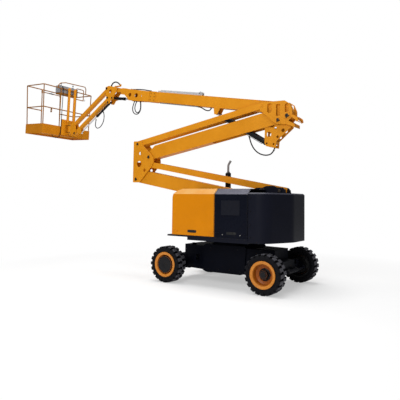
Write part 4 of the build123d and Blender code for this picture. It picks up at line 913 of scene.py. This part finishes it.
# %% Frame and axle bolts
FRAME_Y, AXLE_Y = 0.5102, 0.3302  # side faces of the frame and of its axle boxes
belly = bolts([(x, y, 0.262) for x in np.linspace(-0.42, 0.36, 5) for y in (-0.44, 0.44)], (0, 0, -1), 0.02)
rows = [(x, 0.335) for x in (-0.42, -0.14, 0.14, 0.42)] + [(x, 0.82) for x in (-0.35, 0.35)]
belly += flank_bolts(rows, FRAME_Y, 0.022)
piece("frame_bolts", belly, BARREL_BLACK, "chassis")
axle_bolts = flank_bolts([(x, z) for x in (-1.36, -1.12, 1.12, 1.36) for z in (0.33, 0.55)], AXLE_Y, 0.02)
for side in (-1, 1):
    for y, way in ((0.8302, side), (0.6398, -side)):  # the two faces of a gearbox's flange
        axle_bolts += bolts(circle_of((-AXLE_X, side * y, AXLE_Z), (0, way, 0), 0.15, 12), (0, way, 0), 0.018)
piece("axle_bolts", axle_bolts, IRON, "chassis")
print("frame bolts:", len(belly) // 2, "axle bolts:", len(axle_bolts) // 2)

# %% Steering cylinder, kingpins and tie-down rings
GLAND = [(0.0455, 0.0), (0.05, 0.003), (0.05, 0.022), (0.03, 0.026)]
PORT = [(0.014, 0.0), (0.014, 0.016), (0.01, 0.018), (0.01, 0.03)]
KINGPIN_CAP = [(0.04, 0.0), (0.04, 0.006), (0.036, 0.009), (0.01, 0.009)]
glands = []
for side in (-1, 1):
    glands.append(turned(GLAND, (1.438, side * 0.228, 0.39), (0, side, 0), 36))
    glands.append(turned(PORT, (1.438, side * 0.19, 0.434), (0, 0, 1), 6))
piece("steering_glands", glands, IRON, "chassis")
for body in ("steer_near", "steer_far"):
    x, y, _ = JOINTS[body]["pos_m"]
    cap = [turned(KINGPIN_CAP, (x, y, 0.5652), (0, 0, 1), 32), nipple((x, y, 0.574), (0, 0, 1))]
    piece(body + "_kingpin_cap", cap, IRON, body)
eyes = [torus((x, y, 0.6), (1, 0, 0), 0.03, 0.004, 28, 8) for x in (-0.7, 0.7) for y in (-0.56, 0.56)]
piece("tie_down_rings", eyes, BARREL_BLACK, "chassis")
print("gland parts:", len(glands), "tie-down rings:", len(eyes))

# %% [markdown]
# ## Cylinders
# A cylinder's barrel has a screwed gland with a wiper at the rod's end, a weld
# ring at its foot, and a steel tube that feeds the far end.

# %% Glands, weld rings and feed tubes
CYLINDERS = [  # name, radius and length of the barrel, radii of eye and rod, tube above (1) or below (-1)
    ("riser", 0.06, 1.3, 0.055, 0.036, 1), ("lift", 0.066, 1.4, 0.044, 0.034, -1),
    ("level", 0.04, 0.43, 0.034, 0.021, -1), ("jib", 0.031, 0.64, 0.032, 0.018, -1)]


def barrel_trim(line, radius, length, eye, rod, side):
    """A gland at the rod's end, two weld rings at the foot, one near the gland, and the feed tube."""
    base, run = line(0.0, 0.0), line(1.0, 0.0) - line(0.0, 0.0)
    wiper = rod + 0.0015
    gland = [
        (wiper, 0.0), (radius * 0.92, 0.001), (radius * 0.92, 0.01), (rod + 0.006, 0.014), (wiper, 0.018)]
    ring = band(radius - 0.001, radius + 0.004, 0.006, 0.003)
    parts = [turned(gland, base + run * (length - 0.001), run, 36)]
    parts += [turned(ring, base + run * u, run, 36) for u in (eye + 0.026, eye + 0.04, length - 0.082)]
    path = [  # place along, reach from the axis, extra reach across
        (eye + 0.075, radius * 0.8, 0.0), (eye + 0.085, radius + 0.004, 0.008),
        (eye + 0.13, radius + 0.006, 0.009), (length - 0.16, radius + 0.006, 0.009),
        (length - 0.115, radius + 0.003, 0.008), (length - 0.105, radius * 0.8, 0.0)]
    parts.append(tube([line(u, side * reach, -radius * 0.7 - more) for u, reach, more in path], 0.0055, 10))
    return parts


for name, *sizes in CYLINDERS:
    body = name + "_cylinder_barrel"
    base = pin(body + "_turn")
    line = member(base, base + np.asarray(JOINTS[name + "_cylinder_rod_slide"]["axis"], float))
    piece(body + "_trim", barrel_trim(line, *sizes), BARREL_BLACK, body)
print("cylinders:", len(CYLINDERS))

# %% [markdown]
# ## The platform
# A worker stands here. The floor is sheet with raised oval dots, cast clamps
# pinch the two posts behind it, and the control box has two joysticks, a red
# stop and a row of toggles. The platform leans with its swivel axis, so its
# own places are measured from that axis and up along it.

# %% Platform places
SPIN = JOINTS["platform_rotate"]
UP = np.asarray(SPIN["axis"], float)
OUT = np.array([UP[2], 0.0, -UP[0]])
CENTRE = np.asarray(SPIN["pos_m"], float)


def deck(points):
    """Platform places: x from the swivel axis, y across, z up its axis, all in metres."""
    points = np.asarray(points, float)
    across = np.array([0.0, 1.0, 0.0])
    return CENTRE + points[..., :1] * OUT + points[..., 1:2] * across + points[..., 2:3] * UP


def decked(shape):
    """A shape drawn in platform places is set in the machine's."""
    return outward(deck(shape[0]), shape[1])


# %% Floor pattern
X0, X1, Y0 = -0.97, -0.17, 0.925  # the floor's edges: open side, boom side, and half its width
STUD_PITCH = 0.045
studs = []
a = np.linspace(0, 2 * np.pi, 8, endpoint=False)
rim = np.column_stack([0.014 * np.cos(a), 0.005 * np.sin(a)])
for row, x in enumerate(np.arange(X0 + 0.06, X1 - 0.05, STUD_PITCH)):
    for y in np.arange(-0.86 + STUD_PITCH / 2 * (row % 2), 0.86, STUD_PITCH):
        lean = math.pi / 4 * (1 if (row + int(round((y + 0.9) / STUD_PITCH))) % 2 else -1)
        c, s = math.cos(lean), math.sin(lean)
        spun = np.column_stack([rim[:, 0] * c - rim[:, 1] * s, rim[:, 0] * s + rim[:, 1] * c])
        studs.append(loft([np.column_stack([spun * size + (x, y), np.full(8, z)])
                           for size, z in ((1.0, 0.1095), (0.6, 0.1118))]))
piece("floor_pattern", [decked(stud) for stud in studs], YELLOW, "platform")
print("floor studs:", len(studs))

# %% Skirt beads and rail clamps
SKIRT_TOP, IN = 0.284, 0.004  # height of the beads, and how far their ends stay in
runs = [((X0 + IN, y), (X1 - IN, y)) for y in (-Y0 - 0.0005, Y0 + 0.0005)]
runs.append(((X1 + 0.0005, -Y0 + IN), (X1 + 0.0005, Y0 - IN)))
runs += [((X0 - 0.0005, y0), (X0 - 0.0005, y1)) for y0, y1 in ((-Y0 + IN, -0.392), (0.322, Y0 - IN))]
lips = [tube(deck([(*start, SKIRT_TOP), (*end, SKIRT_TOP)]), 0.004, 8) for start, end in runs]
piece("skirt_lip", lips, YELLOW, "platform")
POST_X = X1 + 0.046  # the middle of the two posts that hold the platform
CLAMP = band(0.0405, 0.044, 0.03, 0.028)
CLAMP_TOP = [(0.04, 0.0), (0.036, 0.006), (0.01, 0.009)]
clamps = []
for y in (-0.034, 0.193):
    for z in (0.47, 1.455):
        clamps.append(turned(CLAMP, deck([POST_X, y, z]), UP, 40))
        clamps += bolts([deck([X1 + 0.0895, y, z + dz]) for dz in (-0.016, 0.016)], OUT, 0.014)
    clamps.append(turned(CLAMP_TOP, deck([POST_X, y, 1.505]), UP, 32))
piece("post_clamps", clamps, YELLOW, "platform")
print("skirt beads:", len(lips), "clamp parts:", len(clamps))

# %% Lid and back of the control box
BX0, BX1, BZ = -0.423, -0.223, 1.56  # the box's front, back and top
LID = BZ + 0.01
box_parts = [decked(slab((BX0 + 0.012, -0.298, BZ + 0.0005), (BX1 - 0.012, 0.368, LID), 0.004)),
             decked(slab((BX1 + 0.0005, -0.285, 1.362), (BX1 + 0.008, 0.355, 1.538), 0.004))]
lid_corners = [deck([x, y, LID]) for x in (BX0 + 0.026, BX1 - 0.026) for y in (-0.284, 0.354)]
back_corners = [deck([BX1 + 0.008, y, z]) for y in (-0.255, 0.325) for z in (1.385, 1.515)]
box_parts += bolts(lid_corners, UP, 0.012) + bolts(back_corners, OUT, 0.016)
piece("control_box_lid", box_parts, PLASTIC, "platform")
print("control box parts:", len(box_parts))

# %% Sticks, toggles and the red stop
GAITER = [
    (0.034, 0.0), (0.034, 0.004), (0.026, 0.01), (0.03, 0.015), (0.021, 0.021), (0.024, 0.026), (0.015, 0.032),
    (0.006, 0.034)]
STICK = [
    (0.006, 0.0), (0.006, 0.06), (0.013, 0.066), (0.017, 0.08), (0.017, 0.1), (0.012, 0.112), (0.003, 0.116)]


def mushroom(at, direction, radius):
    """A stop button: collar, neck and domed head."""
    neck = [(radius * 0.55, 0.0), (radius * 0.55, radius * 0.45), (radius, radius * 0.55)]
    rise = np.linspace(0, np.pi / 2, 6)[:-1]
    dome = [(radius * math.cos(a), radius * 0.75 + radius * 0.35 * math.sin(a)) for a in rise]
    return turned(neck + dome + [(radius * 0.06, radius * 1.1)], at, direction, 28)


def toggle(at, direction, lean, length=0.026):
    """A toggle switch: a hexagon nut and a bat lever that leans."""
    run = direction * length + lean
    nut = turned([(0.009, 0.0), (0.009, 0.003), (0.007, 0.004)], at, direction, 6)
    return [nut, tube([at, at + run * 0.6, at + run], 0.0034, 10)]


sticks = []
for y in (-0.2, 0.27):
    base = deck([-0.33, y, LID])
    sticks += [turned(GAITER, base, UP, 28), turned(STICK, base, UP, 24)]
for k in range(6):
    sticks += toggle(deck([-0.38, -0.12 + 0.055 * k, LID]), UP, 0.004 * OUT)
piece("control_sticks", sticks, BLACK_PLASTIC, "platform")
piece("stop_button", [mushroom(deck([-0.32, 0.035, LID]), UP, 0.021)], RED, "platform")
print("sticks and toggles:", len(sticks) // 2)

# %% Foot switch under its hood
pedal = [decked(slab((-0.7, -0.15, 0.1105), (-0.54, 0.02, 0.124), 0.004)),
         decked(slab((-0.69, -0.14, 0.124), (-0.6, 0.01, 0.15), 0.006))]
t = np.linspace(0, np.pi, 9)
outer = np.column_stack([-0.065 + 0.085 * np.cos(t), 0.124 + 0.075 * np.sin(t)])
inner = outer[::-1] - np.column_stack([0.004 * np.cos(t[::-1]), 0.004 * np.sin(t[::-1])])
section = np.vstack([outer, inner])
hood = loft([np.column_stack([np.full(len(section), x), section]) for x in (-0.69, -0.64, -0.56)])
piece("foot_switch", pedal + [decked(hood)], BLACK_PLASTIC, "platform")
print("foot switch parts:", len(pedal) + 1)

# %% Rail fittings
BASE_Z, TOP_Z = 0.285, 1.469  # heights between which the open side's rails lean outwards
SOCKET = band(0.0165, 0.0195, 0.02, 0.017)
GRIP = band(0.0145, 0.0175, 0.08, 0.077)


def rail_x(z):
    """Where the leaning rails' middle line stands at a height."""
    return X0 + 0.023 - 0.046 * (z - BASE_Z) / (TOP_Z - BASE_Z)


sockets = [turned(SOCKET, deck([rail_x(z), y, z - drop]), UP, 24)
           for y in (-0.39, 0.32) for z, drop in ((0.8, 0.01), (TOP_Z, 0.022))]
piece("rail_welds", sockets, YELLOW, "platform")
bend = [(X1 - 0.04, 1.3), (X1 - 0.06, 1.285), (X1 - 0.06, 1.255), (X1 - 0.04, 1.24)]
hooks = [tube(deck([(x, y, z) for x, z in bend]), 0.005, 8) for y in (-0.62, 0.7)]
piece("tool_hooks", hooks, PIN, "platform")
piece("gate_grip", [turned(GRIP, deck([rail_x(1.4), -0.035, 1.4]), (0, 1, 0), 24)], BLACK_PLASTIC, "gate")
print("rail sockets:", len(sockets), "hooks:", len(hooks))

# %% [markdown]
# ## The swivel
# A rotary actuator turns the platform: a drum with ribbed ends and a bolt
# circle, between the two ears of its holder.

# %% Swivel drum
RIB = band(0.0945, 0.0985, 0.005, 0.003)
CAP = [(0.094, 0.0), (0.094, 0.004), (0.06, 0.007), (0.01, 0.007)]
ribs = [turned(RIB, CENTRE + UP * z, UP, 56) for z in (0.098, 0.12, 0.32, 0.336)]
piece("swivel_ribs", ribs, PIN, "bracket")
cap = [turned(CAP, CENTRE + UP * 0.3702, UP, 48)]
for z, way in ((0.3742, UP), (0.0598, -UP)):
    cap += bolts(circle_of(CENTRE + UP * z, UP, 0.078, 10), way, 0.013)
piece("swivel_cap", cap, PIN, "platform")
print("swivel bolts:", len(cap) // 2)

# %% [markdown]
# ## Floor, light and background
# The machine stands on a plain pale floor. Far away, and for the camera alone, the
# floor is plain white, so no horizon shows. A wide panel overhead stands
# for the sky, with a softer one on the camera's side.

# %% Studio floor
HALF = 80  # half the floor's width, metres
floor_mesh = bpy.data.meshes.new("floor")
corners = [(-HALF, -HALF, 0), (HALF, -HALF, 0), (HALF, HALF, 0), (-HALF, HALF, 0)]
floor_mesh.from_pydata(corners, [], [(0, 1, 2, 3)])
floor = put("floor", floor_mesh)
pale = Nodes(bpy.data.materials.new("pale floor"))
matt = pale.tree.nodes["Principled BSDF"]
pale.fill(matt, {"Base Color": (0.9, 0.9, 0.9), "Roughness": 0.9})
distance = pale.add("VectorMath", {0: pale.place}, operation="LENGTH").outputs["Value"]
far = pale.between(distance, 3.2, 7.5, 0.42, 1.0)
seen = pale.math("MULTIPLY", far, pale.add("LightPath").outputs["Is Camera Ray"])
pale.show("Material Output", seen, matt, pale.add("Emission", {"Strength": 1.0}))
floor_mesh.materials.append(pale.owner)
print("floor ready")

# %% World and lamps
world = bpy.data.worlds.new("studio")
bpy.context.scene.world = world
studio = Nodes(world)
sky = studio.tree.nodes["Background"]
studio.fill(sky, {"Color": (1.0, 1.0, 1.0), "Strength": 0.24})
white = studio.add("Background", {"Color": (1.0, 1.0, 1.0), "Strength": 1.0})
studio.show("World Output", studio.add("LightPath").outputs["Is Camera Ray"], sky, white)


def lamp(name, at, aim, size, power):
    """A square area lamp at a point, turned towards another."""
    data = bpy.data.lights.new(name, "AREA")
    data.size, data.energy = size, power
    put(name, data).matrix_world = pose(*axes(np.subtract(at, aim)), at)


lamp("key", (1.0, -12.0, 7.5), (-1.5, 0.0, 2.6), 7.0, 780)
lamp("sky panel", (-2.0, 0.0, 14.0), (-1.8, 0.0, 2.0), 10.0, 1950)
bpy.context.scene.view_settings.view_transform = "Standard"
print("lamps: 2")
